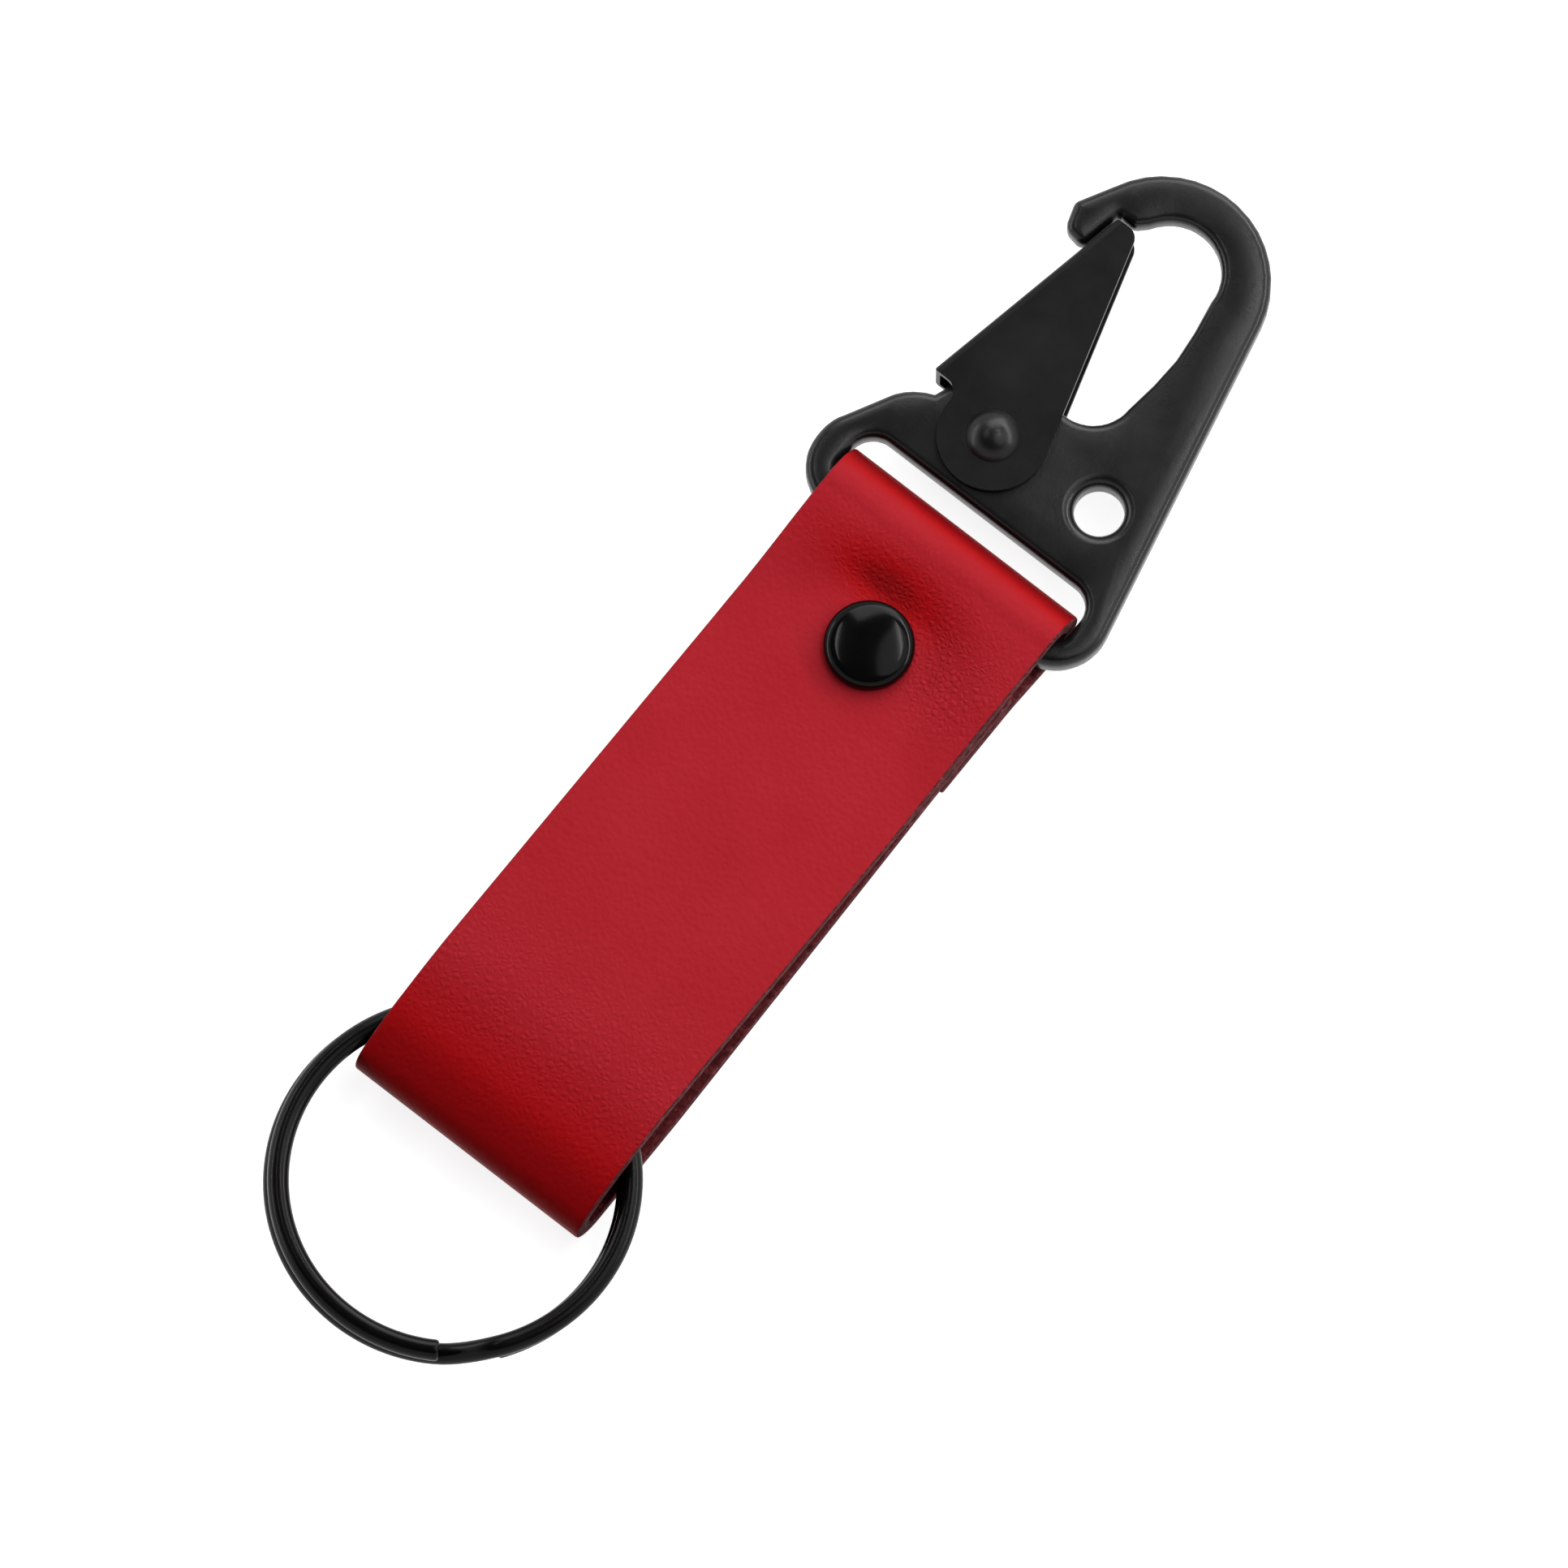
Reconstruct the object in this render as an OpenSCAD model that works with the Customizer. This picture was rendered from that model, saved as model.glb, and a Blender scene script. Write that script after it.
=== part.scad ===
// Leather key fob: a folded strap held by one double cap rivet, with a flat
// snap hook in its top fold and a split ring in its bottom fold. It lies on
// its back: +Z is up, +Y runs along the strap to the hook, +X is to the right.

/* [Leather strap] */
// Width of the strap
strap_w = 25; // [22:0.5:28]
// Length of the strap from fold to fold
strap_l = 71.1; // [64:0.1:100]
// Thickness of the leather
leather_t = 1.8; // [1.5:0.1:2.1]
// Gap that is left between layers pressed together
layer_gap = 0.1; // [0.06:0.02:0.2]
// Distance from the rivet's centre up to the outside of the top fold
rivet_to_fold = 13.95; // [13:0.05:17]
// How far the short tail runs below the rivet's centre
tail_l = 5.4; // [4.8:0.1:8]
// How far the end of the back layer runs above the rivet's centre
lap_l = 4.6; // [4.3:0.1:5]
// Room round the hook's bar inside the top fold
bar_play = 0.4; // [0.3:0.05:0.6]
// How far the bar sits below the middle of the top fold
bar_lag = 0.35; // [0.1:0.05:0.45]
// Room above and below the ring inside the bottom fold
ring_play = 0.16; // [0.14:0.02:0.3]
// How far the layers run level past the ring before they draw together
ring_cover = 1; // [0.6:0.1:3]
// Radius of the gentle bends beside the rivet
bend_r = 5; // [3:0.5:6]
// Radius of the long bend where the layers draw together
drape_r = 30; // [10:1:40]

/* [Rivet] */
// Diameter of each cap
cap_d = 8.1; // [7.2:0.1:9]
// Height of each cap above the leather
cap_h = 1.9; // [1.6:0.05:2.2]
// Radius of the cap's shoulder
cap_shoulder_r = 0.85; // [0.6:0.05:1]
// Radius of the cap's crown
crown_curve_r = 16; // [13:0.5:24]
// Thickness of the cap's sheet
cap_wall = 0.3; // [0.2:0.05:0.35]
// Width of the rim that is curled in under the cap
cap_curl_w = 0.3; // [0.2:0.05:0.4]
// Thickness of the flange inside each cap
flange_t = 0.35; // [0.25:0.05:0.45]
// Room between the flange and the cap's rim
flange_gap = 0.12; // [0.08:0.02:0.2]
// Outer diameter of the socket's tube
socket_d = 3.2; // [3:0.05:3.6]
// Wall of the socket's tube
socket_wall = 0.3; // [0.2:0.05:0.35]
// How far the socket's tube stops above the tail's outer face
socket_rise = 0.8; // [0.5:0.1:1.2]
// Clearance round the post in its socket
post_gap = 0.03; // [0.02:0.01:0.06]
// How far the post's end stops below the front face of the leather
post_drop = 0.5; // [0.3:0.1:1]
// Rounding of the post's end
post_end_r = 0.5; // [0.3:0.05:0.7]
// Clearance of the socket in the leather
punch_gap = 0.06; // [0.04:0.01:0.1]

/* [Snap hook] */
// Length of the hook from the strap bar to the crown
hook_l = 44.2; // [41:0.1:52]
// Thickness of the cast plate
plate_t = 3; // [2.6:0.1:3.4]
// Radius of the cast edges
edge_r = 0.8; // [0.6:0.05:0.95]
// Width of the bar in the strap's fold
bar_w = 3; // [2.6:0.1:3.2]
// Height of the slot for the strap
slot_h = 5; // [4.7:0.1:7]
// Gap between the strap's edge and the slot's end
slot_side_gap = 0.3; // [0.25:0.05:0.8]
// Radius of the slot's two upper corners
slot_top_r = 2.4; // [1.6:0.1:2.4]
// Radius of the slot's two corners at the bar
slot_low_r = 0.85; // [0.8:0.05:1]
// Width of the frame at the slot's left end
left_side_w = 3.1; // [2.6:0.1:4]
// Width of the frame at the slot's right end
right_side_w = 2.8; // [2.6:0.1:4]
// Radius of the corner below the left shoulder
left_corner_r = 4.5; // [3.5:0.1:5]
// Radius of the corner below the long side
right_corner_r = 5; // [4:0.1:5.5]
// Radius of the left shoulder where it meets the tongue
shoulder_r = 6; // [5:0.1:7]
// How far in from the left side the shoulder's circle stands
shoulder_inset = 1.9; // [1.5:0.1:2.3]
// How far above the slot the shoulder's circle has its centre
shoulder_lift = .3; // [0:0.1:1]
// How far below the slot's top the left side starts to lean in
left_side_drop = 2.9; // [2.5:0.1:3.5]
// Radius of the hook's crown
crown_r = 9.65; // [8.8:0.05:10.6]
// How far the crown's centre lies left of the strap's middle
crown_offset = 0.75; // [0:0.05:1.5]
// Width of the band over the crown
crown_band = 4; // [3.2:0.1:4.6]
// Radius of the mouth under the crown
mouth_r = 4.6; // [4:0.1:5]
// Radius of the mouth's lower corner
throat_r = 4; // [3:0.1:4.5]
// How far the mouth's lower corner lies above the gate's pivot
throat_rise = 9.7; // [9:0.1:10]
// How far the long side bulges into the mouth's right wall
mouth_bulge = 0.75; // [0.3:0.05:1.1]
// How far the notch's corner lies left of the strap's middle
notch_x = 7.4; // [7:0.1:7.6]
// Width of the nose lip that the gate closes behind
nose_w = 2.2; // [2.1:0.05:2.6]
// Length of the nose lip below its notch
nose_l = 4.3; // [3.4:0.1:5]
// Radius of the nose lip's chin
chin_r = 1.2; // [0.9:0.05:1.3]
// Radius of the see-through lanyard hole
lanyard_r = 2.25; // [1.8:0.05:2.6]
// Radius of the lanyard hole's rounded front edge
lanyard_edge_r = 1.1; // [0.7:0.05:1.2]
// Radius of the lanyard hole's rounded back edge
lanyard_back_r = 0.5; // [0.3:0.05:0.7]
// How far the lanyard hole lies right of the strap's middle
lanyard_x = 7.9; // [7.4:0.1:8.6]
// How far the lanyard hole lies above the slot
lanyard_rise = 6.6; // [6:0.1:8]

/* [Gate] */
// Thickness of the gate's sheet
gate_t = 0.7; // [0.5:0.05:0.8]
// Gap between the plate and each wall of the gate
gate_side_gap = 0.15; // [0.12:0.01:0.25]
// Radius of the gate's round end about its pivot
gate_end_r = 5; // [4.6:0.1:5.4]
// Radius of the frame's tongue inside the gate
tongue_r = 6.36; // [6:0.02:6.8]
// Distance from the pivot to the outside of the gate's web
gate_web_r = 8.1; // [7.8:0.05:8.6]
// Width of the gate's tip
gate_tip_w = 2.3; // [2:0.1:2.6]
// Gap between the gate's tip and the notch in the nose
gate_tip_gap = 0.6; // [0.45:0.05:1]
// Gap between the gate's web and the nose lip
nose_gap = 0.3; // [0.2:0.05:0.5]
// Radius of the gate's tip at its free edge
gate_tip_r = 1.2; // [0.8:0.1:1.5]
// Radius of the hollow below the gate's web
gate_hollow_r = 1.4; // [1:0.1:1.5]
// How far the pivot lies left of the strap's middle
pivot_offset = 3.45; // [3:0.05:3.9]
// How far the pivot lies above the slot
pivot_rise = 5.85; // [5.7:0.05:6.5]
// Diameter of the pivot's shank
pivot_d = 2.6; // [2.2:0.1:2.8]
// Clearance round the shank in the gate
pivot_gap = 0.08; // [0.05:0.01:0.12]
// Clearance round the shank in the frame
pivot_seat_gap = 0.02; // [0.01:0.01:0.04]
// Diameter of the pivot's heads
pivot_head_d = 4.8; // [4.4:0.1:5]
// Height of the domed front head
pivot_dome_h = 1.3; // [1:0.05:1.5]
// Height of the flatter rear head
pivot_tail_h = 0.9; // [0.7:0.05:1.1]
// Gap between each head and the gate
pivot_head_gap = 0.05; // [0.03:0.01:0.1]
// Diameter of the gate spring's wire
spring_wire_d = 0.4; // [0.36:0.01:0.44]
// Rise of the spring for each turn
spring_pitch = 0.84; // [0.84:0.01:0.88]
// Radius of the spring's coil, to the wire's middle
spring_r = 2; // [1.9:0.05:2.1]
// Length of the spring's leg along the gate's web
spring_gate_leg = 9.2; // [7:0.1:9.4]
// Length of the spring's leg in the frame
spring_frame_leg = 2.6; // [2:0.1:3]
// Gap round the spring in its recess
spring_gap = 0.2; // [0.15:0.05:0.3]

/* [Split ring] */
// How much wider the ring's inside is than the strap
ring_room = 4.24; // [3.6:0.02:9]
// Diameter of the ring's round wire
ring_wire_d = 1.93; // [1.6:0.01:2.1]
// Gap between the ring's two turns
ring_turn_gap = 0.43; // [0.42:0.01:0.6]
// How far the ring's centre lies right of the strap's middle
ring_x = 0.9; // [0:0.1:1]
// How far the upper turn lies right of the lower one
ring_turn_shift = 0.5; // [0:0.05:0.6]
// Direction of the step between the turns, in degrees
ring_step_deg = -46.75; // [-60:0.25:-30]
// Length of the step between the turns, in degrees
ring_step_span_deg = 20; // [16:1:26]

/* [Hidden] */
// Roundness of turned faces
$fn = 48;
// Longest step along an arc of an outline, in degrees
arc_step_deg = 9;
// Cuts run this far past the faces that they open
overrun = 1;
// Sides of the edge tool that rounds the cast plate
edge_sides = 16;
// Rings for each turn and sides of the split ring's wire
ring_rings = 40;
ring_sides = 10;
// Rings for each turn and sides of the gate spring's wire
spring_rings = 8;
spring_sides = 6;
// Turns of the gate spring's coil
spring_turns = 2;
// Where the spring's coil ends, its gate leg leaving square to that direction
coil_end_deg = 197.5;
// How much more than whole turns the coil is wound
coil_extra_deg = 27.5;
// How far the gate opens, and the free travel left beside the spring's legs
gate_open_deg = 24;
leg_slack_deg = 12;
// How far each leg's direction from the pivot swings along its free part
leg_spread_deg = 25;

// Heights at the rivet, from the surface that the fob lies on
tail_z = cap_h + leather_t / 2;
back_z = tail_z + leather_t + layer_gap;
front_z = back_z + leather_t + layer_gap;
grip = 3 * leather_t + 2 * layer_gap;
leather_top = cap_h + grip;
hook_z = cap_h + grip / 2;

// Top fold, which the hook's bar turns in
bar_corner = [bar_w / 2 - edge_r, plate_t / 2 - edge_r];
bar_sweep_r = norm(bar_corner) + edge_r;
top_inner_r = bar_sweep_r + bar_play;
top_r = top_inner_r + leather_t / 2;
top_y = rivet_to_fold - top_inner_r - leather_t;
bar_y = top_y - bar_lag;

// Split ring and the bottom fold that it lies in
ring_pitch = ring_wire_d + ring_turn_gap;
ring_inner_r = strap_w / 2 + ring_room / 2;
ring_r = ring_inner_r + ring_wire_d / 2;
ring_outer_r = ring_inner_r + ring_wire_d;
low_inner_r = (ring_pitch + ring_wire_d) / 2 + ring_play;
low_r = low_inner_r + leather_t / 2;
low_y = rivet_to_fold - strap_l + low_inner_r + leather_t;
ring_z = low_inner_r + leather_t;
wire_reach = sqrt(pow(low_inner_r - ring_play, 2) - pow(ring_pitch / 2, 2));
ring_side = ring_x + ring_turn_shift / 2;
edge_reach = sqrt(pow(ring_inner_r, 2) - pow(strap_w / 2 + ring_side, 2));
ring_y = low_y - wire_reach - edge_reach;
cover_y = ring_y + ring_outer_r + ring_cover;

// Snap hook, measured from the middle of its bar
slot_l = strap_w + 2 * slot_side_gap;
hook_w = slot_l + left_side_w + right_side_w;
left_end = -slot_l / 2 - left_side_w;
right_end = slot_l / 2 + right_side_w;
slot_top = bar_w / 2 + slot_h;
reach = hook_l - bar_w / 2;
crown_c = [-crown_offset, reach - crown_r];
mouth_c = [-crown_offset, reach - crown_band - mouth_r];
pivot = [-pivot_offset, slot_top + pivot_rise];
lanyard = [lanyard_x, slot_top + lanyard_rise];
// Heights of the notch and of the nose's outer corner above the crown's centre,
// and the bump beside the notch, as shares of the crown's radius
notch_share = 0.242;
nose_corner_share = 0.09;
bump_share = 0.52;
notch_y = crown_c.y + notch_share * crown_r;
tip_y = notch_y - gate_tip_gap;
chin_y = notch_y - nose_l;
// The gate's web lies on a line past its pivot that runs along the nose
nose_wall = gate_web_r + nose_gap;
to_notch = [-notch_x, notch_y] - pivot;
gate_lean_deg = 180 - atan2(to_notch.y, to_notch.x) - acos(nose_wall / norm(to_notch));
web_normal = [-cos(gate_lean_deg), sin(gate_lean_deg)];
web_along = [sin(gate_lean_deg), cos(gate_lean_deg)];
tip_left = lines_meet([0, 0], web_normal, gate_web_r + pivot * web_normal, [0, 1], tip_y);
tip_right = tip_left + [gate_tip_w, 0];
to_tip = tip_right - pivot;
gate_edge_deg = atan2(to_tip.y, to_tip.x) - acos(gate_end_r / norm(to_tip));
coil_sweep_deg = 360 * spring_turns + coil_extra_deg;
// Directions from the pivot where the gate leg leaves the plate and of the
// frame leg's end
gate_leg_deg = coil_end_deg - acos(spring_r / tongue_r);
frame_leg_deg = coil_end_deg + coil_extra_deg + atan2(spring_frame_leg, spring_r);
gate_z = plate_t / 2 + gate_side_gap + gate_t;
head_z = gate_z + pivot_head_gap;
recess_h = coil_sweep_deg / 360 * spring_pitch + spring_wire_d + spring_gap;
recess_r = spring_r + spring_wire_d / 2 + 2 * spring_gap;

// The fob's outline box, whose middle is the origin
left_x = min(left_end, ring_x - ring_turn_shift / 2 - ring_outer_r);
right_x = ring_side + ring_outer_r;
low_end_y = ring_y - ring_outer_r;
high_end_y = bar_y + reach;
middle = [(left_x + right_x) / 2, (low_end_y + high_end_y) / 2];

// Vector and outline helpers
function unit(v) = v / norm(v);
function left_of(v) = [-v.y, v.x];
// Points of an arc, each with no rounding of its own
function arc(c, r, a0, a1) =
    let (n = ceil(abs(a1 - a0) / arc_step_deg))
    [for (k = [0:n]) let (a = a0 + (a1 - a0) * k / n) [c.x + r * cos(a), c.y + r * sin(a), 0]];
// Corner b between a and c, rounded to the radius b.z
function corner(a, b, c) =
    let (p = [b.x, b.y],
         u = unit([a.x, a.y] - p),
         v = unit([c.x, c.y] - p),
         half = acos(max(-1, min(1, u * v))) / 2,
         turn = 180 - 2 * half)
    b.z == 0 || turn < 0.01 ? [p] :
    let (centre = p + unit(u + v) * b.z / sin(half),
         start = p + u * b.z / tan(half) - centre,
         a0 = atan2(start.y, start.x),
         way = cross(u, v) < 0 ? 1 : -1,
         n = ceil(turn / arc_step_deg))
    [for (k = [0:n]) let (t = a0 + way * turn * k / n) centre + b.z * [cos(t), sin(t)]];
// Closed outline of corners [x, y, radius]
function rounded(p) =
    let (n = len(p))
    [for (i = [0:n - 1]) each corner(p[(i + n - 1) % n], p[i], p[(i + 1) % n])];
// Open line of corners [x, y, radius], whose ends stay sharp
function bent(p) =
    let (n = len(p))
    [for (i = [0:n - 1])
        each (i == 0 || i == n - 1 ? [[p[i].x, p[i].y]] : corner(p[i - 1], p[i], p[i + 1]))];
// The same points with the ones that lie on their neighbour left out
function distinct(p) =
    [for (i = [0:len(p) - 1]) if (i == 0 || norm(p[i] - p[max(i - 1, 0)]) > layer_gap / 100) p[i]];
// Corner where lines with the outward normals m and n lie at a and b from c
function lines_meet(c, m, a, n, b) =
    c + [a * n.y - b * m.y, b * m.x - a * n.x] / cross(m, n);
// Direction from which a line touches two circles, both on its left
function tangent_deg(c, r, d, s) =
    atan2(d.y - c.y, d.x - c.x) - acos((r - s) / norm(d - c));

// Line moved to its left by d, with mitred corners
function beside(p, d) =
    [for (i = [0:len(p) - 1])
        let (u = unit(i == 0 ? p[1] - p[0] : p[i] - p[i - 1]),
             v = unit(i == len(p) - 1 ? p[i] - p[i - 1] : p[i + 1] - p[i]),
             n = unit(left_of(u) + left_of(v)))
        p[i] + n * d / (n * left_of(u))];

// Tube of round wire along a path that never runs straight up
module tube(path, d, sides) {
    last = len(path) - 1;
    rings = [for (i = [0:last])
        let (t = unit(path[min(i + 1, last)] - path[max(i - 1, 0)]),
             s = unit(cross(t, [0, 0, 1])),
             w = cross(s, t))
        for (k = [0:sides - 1])
            path[i] + d / 2 * (s * cos(360 * k / sides) + w * sin(360 * k / sides))];
    function at(i, k) = i * sides + k % sides;
    walls = [for (i = [0:last - 1], k = [0:sides - 1])
        each [[at(i, k), at(i, k + 1), at(i + 1, k)],
              [at(i, k + 1), at(i + 1, k + 1), at(i + 1, k)]]];
    starts = [for (k = [1:sides - 2]) [at(0, 0), at(0, k + 1), at(0, k)]];
    ends = [for (k = [1:sides - 2]) [at(last, 0), at(last, k), at(last, k + 1)]];
    polyhedron(rings, concat(walls, starts, ends));
}

// Least gap of a wire to itself, between points more than a third of a turn apart
function least_gap(path, d, rings) =
    min([for (i = [0:len(path) - 1], j = [i + ceil(rings / 3):len(path) - 1])
        if (j < len(path)) norm(path[i] - path[j])]) - d;

// Everything is placed here, with the middle of the fob's box over the origin
module in_frame() {
    translate([-middle.x, -middle.y, 0]) children();
}
module at_bar() {
    in_frame() translate([0, bar_y, hook_z]) children();
}
module at_pivot() {
    at_bar() translate([pivot.x, pivot.y, 0]) children();
}
// Part of a flat ring, from the spring's middle radius out to r, from one direction to another
module slice(r, from_deg, to_deg, h) {
    rotate([0, 0, from_deg]) rotate_extrude(angle = to_deg - from_deg)
        translate([spring_r, 0]) square([r - spring_r, h]);
}

// Side view of the strap's middle line, from the tail's end over the top
// fold, down the front, round the ring and back up to the lap's end
clamp_top = lap_l - layer_gap;
clamp_low = tail_l + leather_t / 2;
to_fold = [top_y - clamp_top, hook_z - tail_z];
rise_deg = asin(top_r / norm(to_fold)) - atan2(to_fold.y, to_fold.x);
top_rise = top_r * tan(45 + rise_deg / 2);
strap_line = distinct(bent([
    [-tail_l, tail_z, 0],
    [clamp_top, tail_z, bend_r],
    [top_y + top_r, hook_z - top_rise, top_r],
    [top_y + top_r, hook_z + top_rise, top_r],
    [clamp_top, front_z, bend_r],
    [-clamp_low, front_z, drape_r],
    [cover_y, ring_z + low_r, drape_r],
    [low_y - low_r, ring_z + low_r, low_r],
    [low_y - low_r, ring_z - low_r, low_r],
    [cover_y, ring_z - low_r, drape_r],
    [-clamp_low, back_z, bend_r],
    [lap_l, back_z, 0]
]));

// One strip of leather, folded over the bar and round the ring
module leather_strap() {
    sides = concat(beside(strap_line, leather_t / 2), [for (i = [len(strap_line) - 1:-1:0])
        beside(strap_line, -leather_t / 2)[i]]);
    color([0.66, 0.13, 0.16]) in_frame() difference() {
        rotate([90, 0, 90]) linear_extrude(strap_w, center = true) polygon(sides);
        translate([0, 0, cap_h - overrun])
            cylinder(d = socket_d + 2 * punch_gap, h = grip + 2 * overrun);
    }
}

// Half section of a cap, drawn from its rim at height zero up to its crown
module cap_section(r, h, shoulder, crown) {
    intersection() {
        translate([0, h - crown]) circle(crown, $fn = 8 * $fn);
        union() {
            square([r - shoulder, h]);
            square([r, h - 1.5 * shoulder]);
            translate([r - shoulder, h - 1.5 * shoulder]) circle(shoulder);
        }
        square([r, h]);
    }
}

// Domed sheet shell with its rim curled in over the flange
module rivet_cap() {
    inside = cap_h - cap_wall;
    rotate_extrude() {
        difference() {
            cap_section(cap_d / 2, cap_h, cap_shoulder_r, crown_curve_r);
            translate([-overrun, -overrun])
                square([cap_d / 2 - cap_wall - cap_curl_w + overrun, overrun + cap_wall]);
            difference() {
                cap_section(cap_d / 2 - cap_wall, inside, cap_shoulder_r - cap_wall,
                            crown_curve_r - cap_wall);
                translate([cap_d / 2 - cap_wall - cap_curl_w, -overrun])
                    square([cap_wall + cap_curl_w, overrun]);
            }
        }
    }
}
module rivet_front_cap() {
    color([0.09, 0.09, 0.1]) in_frame() translate([0, 0, leather_top]) rivet_cap();
}
module rivet_rear_cap() {
    color([0.09, 0.09, 0.1]) in_frame() translate([0, 0, cap_h]) mirror([0, 0, 1]) rivet_cap();
}

// Flanged tube that comes in from the front
flange_d = cap_d - 2 * cap_wall - 2 * flange_gap;
module rivet_socket() {
    bore = socket_d - 2 * socket_wall;
    color([0.5, 0.5, 0.52]) in_frame() difference() {
        union() {
            translate([0, 0, leather_top]) cylinder(d = flange_d, h = flange_t);
            translate([0, 0, cap_h + socket_rise])
                cylinder(d = socket_d, h = grip - socket_rise + flange_t / 2);
        }
        translate([0, 0, cap_h + socket_rise - overrun])
            cylinder(d = bore, h = grip - socket_rise + flange_t + 2 * overrun);
    }
}

// Flanged post that comes in from behind and is pressed into the socket
module rivet_post() {
    post_r = socket_d / 2 - socket_wall - post_gap;
    post_h = grip - post_drop;
    color([0.5, 0.5, 0.52]) in_frame() translate([0, 0, cap_h]) {
        translate([0, 0, -flange_t]) cylinder(d = flange_d, h = flange_t);
        rotate_extrude() {
            translate([0, -flange_t / 2]) square([post_r, post_h + flange_t / 2 - post_end_r]);
            square([post_r - post_end_r, post_h]);
            intersection() {
                translate([post_r - post_end_r, post_h - post_end_r]) circle(post_end_r);
                square([post_r, post_h]);
            }
        }
    }
}

// Outline of the cast plate, anticlockwise from the lobe at the bar's left
nose_low = lines_meet([0, 0], web_normal, nose_wall + pivot * web_normal, [0, 1], chin_y);
nose_out = nose_low.x - nose_w;
bump_x = crown_c.x - crown_r * bump_share;
throat_to = throat_r + tongue_r;
throat_y = pivot.y + throat_rise;
throat_x = pivot.x + sqrt(pow(throat_to, 2) - pow(throat_y - pivot.y, 2));
throat_c = [throat_x, throat_y];
throat_deg = atan2(throat_c.y - pivot.y, throat_c.x - pivot.x);
side_lean_deg = tangent_deg([right_end - right_corner_r, right_corner_r - bar_w / 2],
                            right_corner_r, crown_c, crown_r);
wall_top = mouth_c + [mouth_r, 0];
wall_low = throat_c + [throat_r, 0];
shoulder_c = [left_end + shoulder_r + shoulder_inset, slot_top + shoulder_lift];
frame_outline = rounded(concat(
    arc([left_end + left_corner_r, left_corner_r - bar_w / 2], left_corner_r, 180, 270),
    arc([right_end - right_corner_r, right_corner_r - bar_w / 2], right_corner_r, 270,
        360 + side_lean_deg),
    arc(crown_c, crown_r, side_lean_deg, 155),
    [[nose_out - edge_r, crown_c.y + nose_corner_share * crown_r, edge_r],
     [nose_out, chin_y + chin_r / 3, chin_r],
     [nose_low.x, nose_low.y, edge_r],
     [-notch_x, notch_y, edge_r / 2],
     [bump_x, notch_y, edge_r]],
    arc(mouth_c, mouth_r, 150, 0),
    [[max(wall_top.x, wall_low.x) + mouth_bulge, (wall_top.y + wall_low.y) / 2, 2 * crown_r]],
    arc(throat_c, throat_r, 0, throat_deg - 180),
    arc(pivot, tongue_r, throat_deg, 172),
    arc(shoulder_c, shoulder_r, 110, 145),
    arc([left_end + left_corner_r, slot_top - left_side_drop], left_corner_r, 145, 180)
));

// Flat, open cast plate with rounded edges
module cast_plate() {
    minkowski() {
        translate([0, 0, edge_r - plate_t / 2])
            linear_extrude(plate_t - 2 * edge_r) offset(delta = -edge_r) difference() {
                polygon(frame_outline);
                polygon(rounded([
                    [-slot_l / 2, bar_w / 2, slot_low_r], [slot_l / 2, bar_w / 2, slot_low_r],
                    [slot_l / 2, slot_top, slot_top_r], [-slot_l / 2, slot_top, slot_top_r]]));
            }
        rotate_extrude($fn = edge_sides)
            polygon([for (a = [-90:30:90]) edge_r * [cos(a), sin(a)]]);
    }
}

// Cut that rounds the lanyard hole's edge on the front face
module lanyard_flare(r) {
    rotate_extrude() difference() {
        translate([0, plate_t / 2 - r]) square([lanyard_r + r, r + overrun]);
        translate([lanyard_r + r, plate_t / 2 - r]) circle(r);
    }
}

// Plate with its lanyard hole, pivot hole and the spring's recess
module hook_frame() {
    color([0.16, 0.16, 0.17]) at_bar() difference() {
        cast_plate();
        translate([lanyard.x, lanyard.y, -plate_t / 2 - overrun])
            cylinder(r = lanyard_r, h = plate_t + 2 * overrun);
        translate([lanyard.x, lanyard.y, 0]) {
            lanyard_flare(lanyard_edge_r);
            mirror([0, 0, 1]) lanyard_flare(lanyard_back_r);
        }
        translate([pivot.x, pivot.y, -plate_t / 2 - overrun]) {
            cylinder(d = pivot_d + 2 * pivot_seat_gap, h = plate_t + 2 * overrun);
            cylinder(r = recess_r, h = recess_h + overrun);
            slice(tongue_r + overrun, gate_leg_deg - gate_open_deg - leg_slack_deg,
                  gate_leg_deg + leg_spread_deg + leg_slack_deg, recess_h + overrun);
            slice(norm([spring_r, spring_frame_leg]) + spring_wire_d / 2 + spring_gap,
                  frame_leg_deg - gate_open_deg - leg_slack_deg - leg_spread_deg,
                  frame_leg_deg + leg_slack_deg, recess_h + overrun);
        }
    }
}

// Outline of the gate's two walls, anticlockwise from the web's lower end
web_low = pivot + web_normal * gate_web_r;
gate_outline = rounded(concat(
    [[web_low.x, web_low.y, gate_t / 2]],
    [[pivot.x - gate_end_r, web_low.y, gate_hollow_r]],
    arc(pivot, gate_end_r, 180, 360 + gate_edge_deg),
    [[tip_right.x, tip_right.y, gate_tip_r], [tip_left.x, tip_left.y, gate_t / 2]]
));

// Sheet channel that straddles the plate and closes the hook
module hook_gate() {
    web_l = (tip_y - web_low.y) / web_along.y + 2 * overrun + gate_t;
    color([0.13, 0.13, 0.14]) at_bar() difference() {
        intersection() {
            translate([0, 0, -gate_z]) linear_extrude(2 * gate_z) polygon(gate_outline);
            gate_section(gate_z, gate_web_r, gate_t, web_l);
        }
        gate_section(gate_z - gate_t, gate_web_r - gate_t, gate_t / 3, web_l);
        translate([pivot.x, pivot.y, -gate_z - overrun])
            cylinder(d = pivot_d + 2 * pivot_gap, h = 2 * (gate_z + overrun));
    }
}
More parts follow.
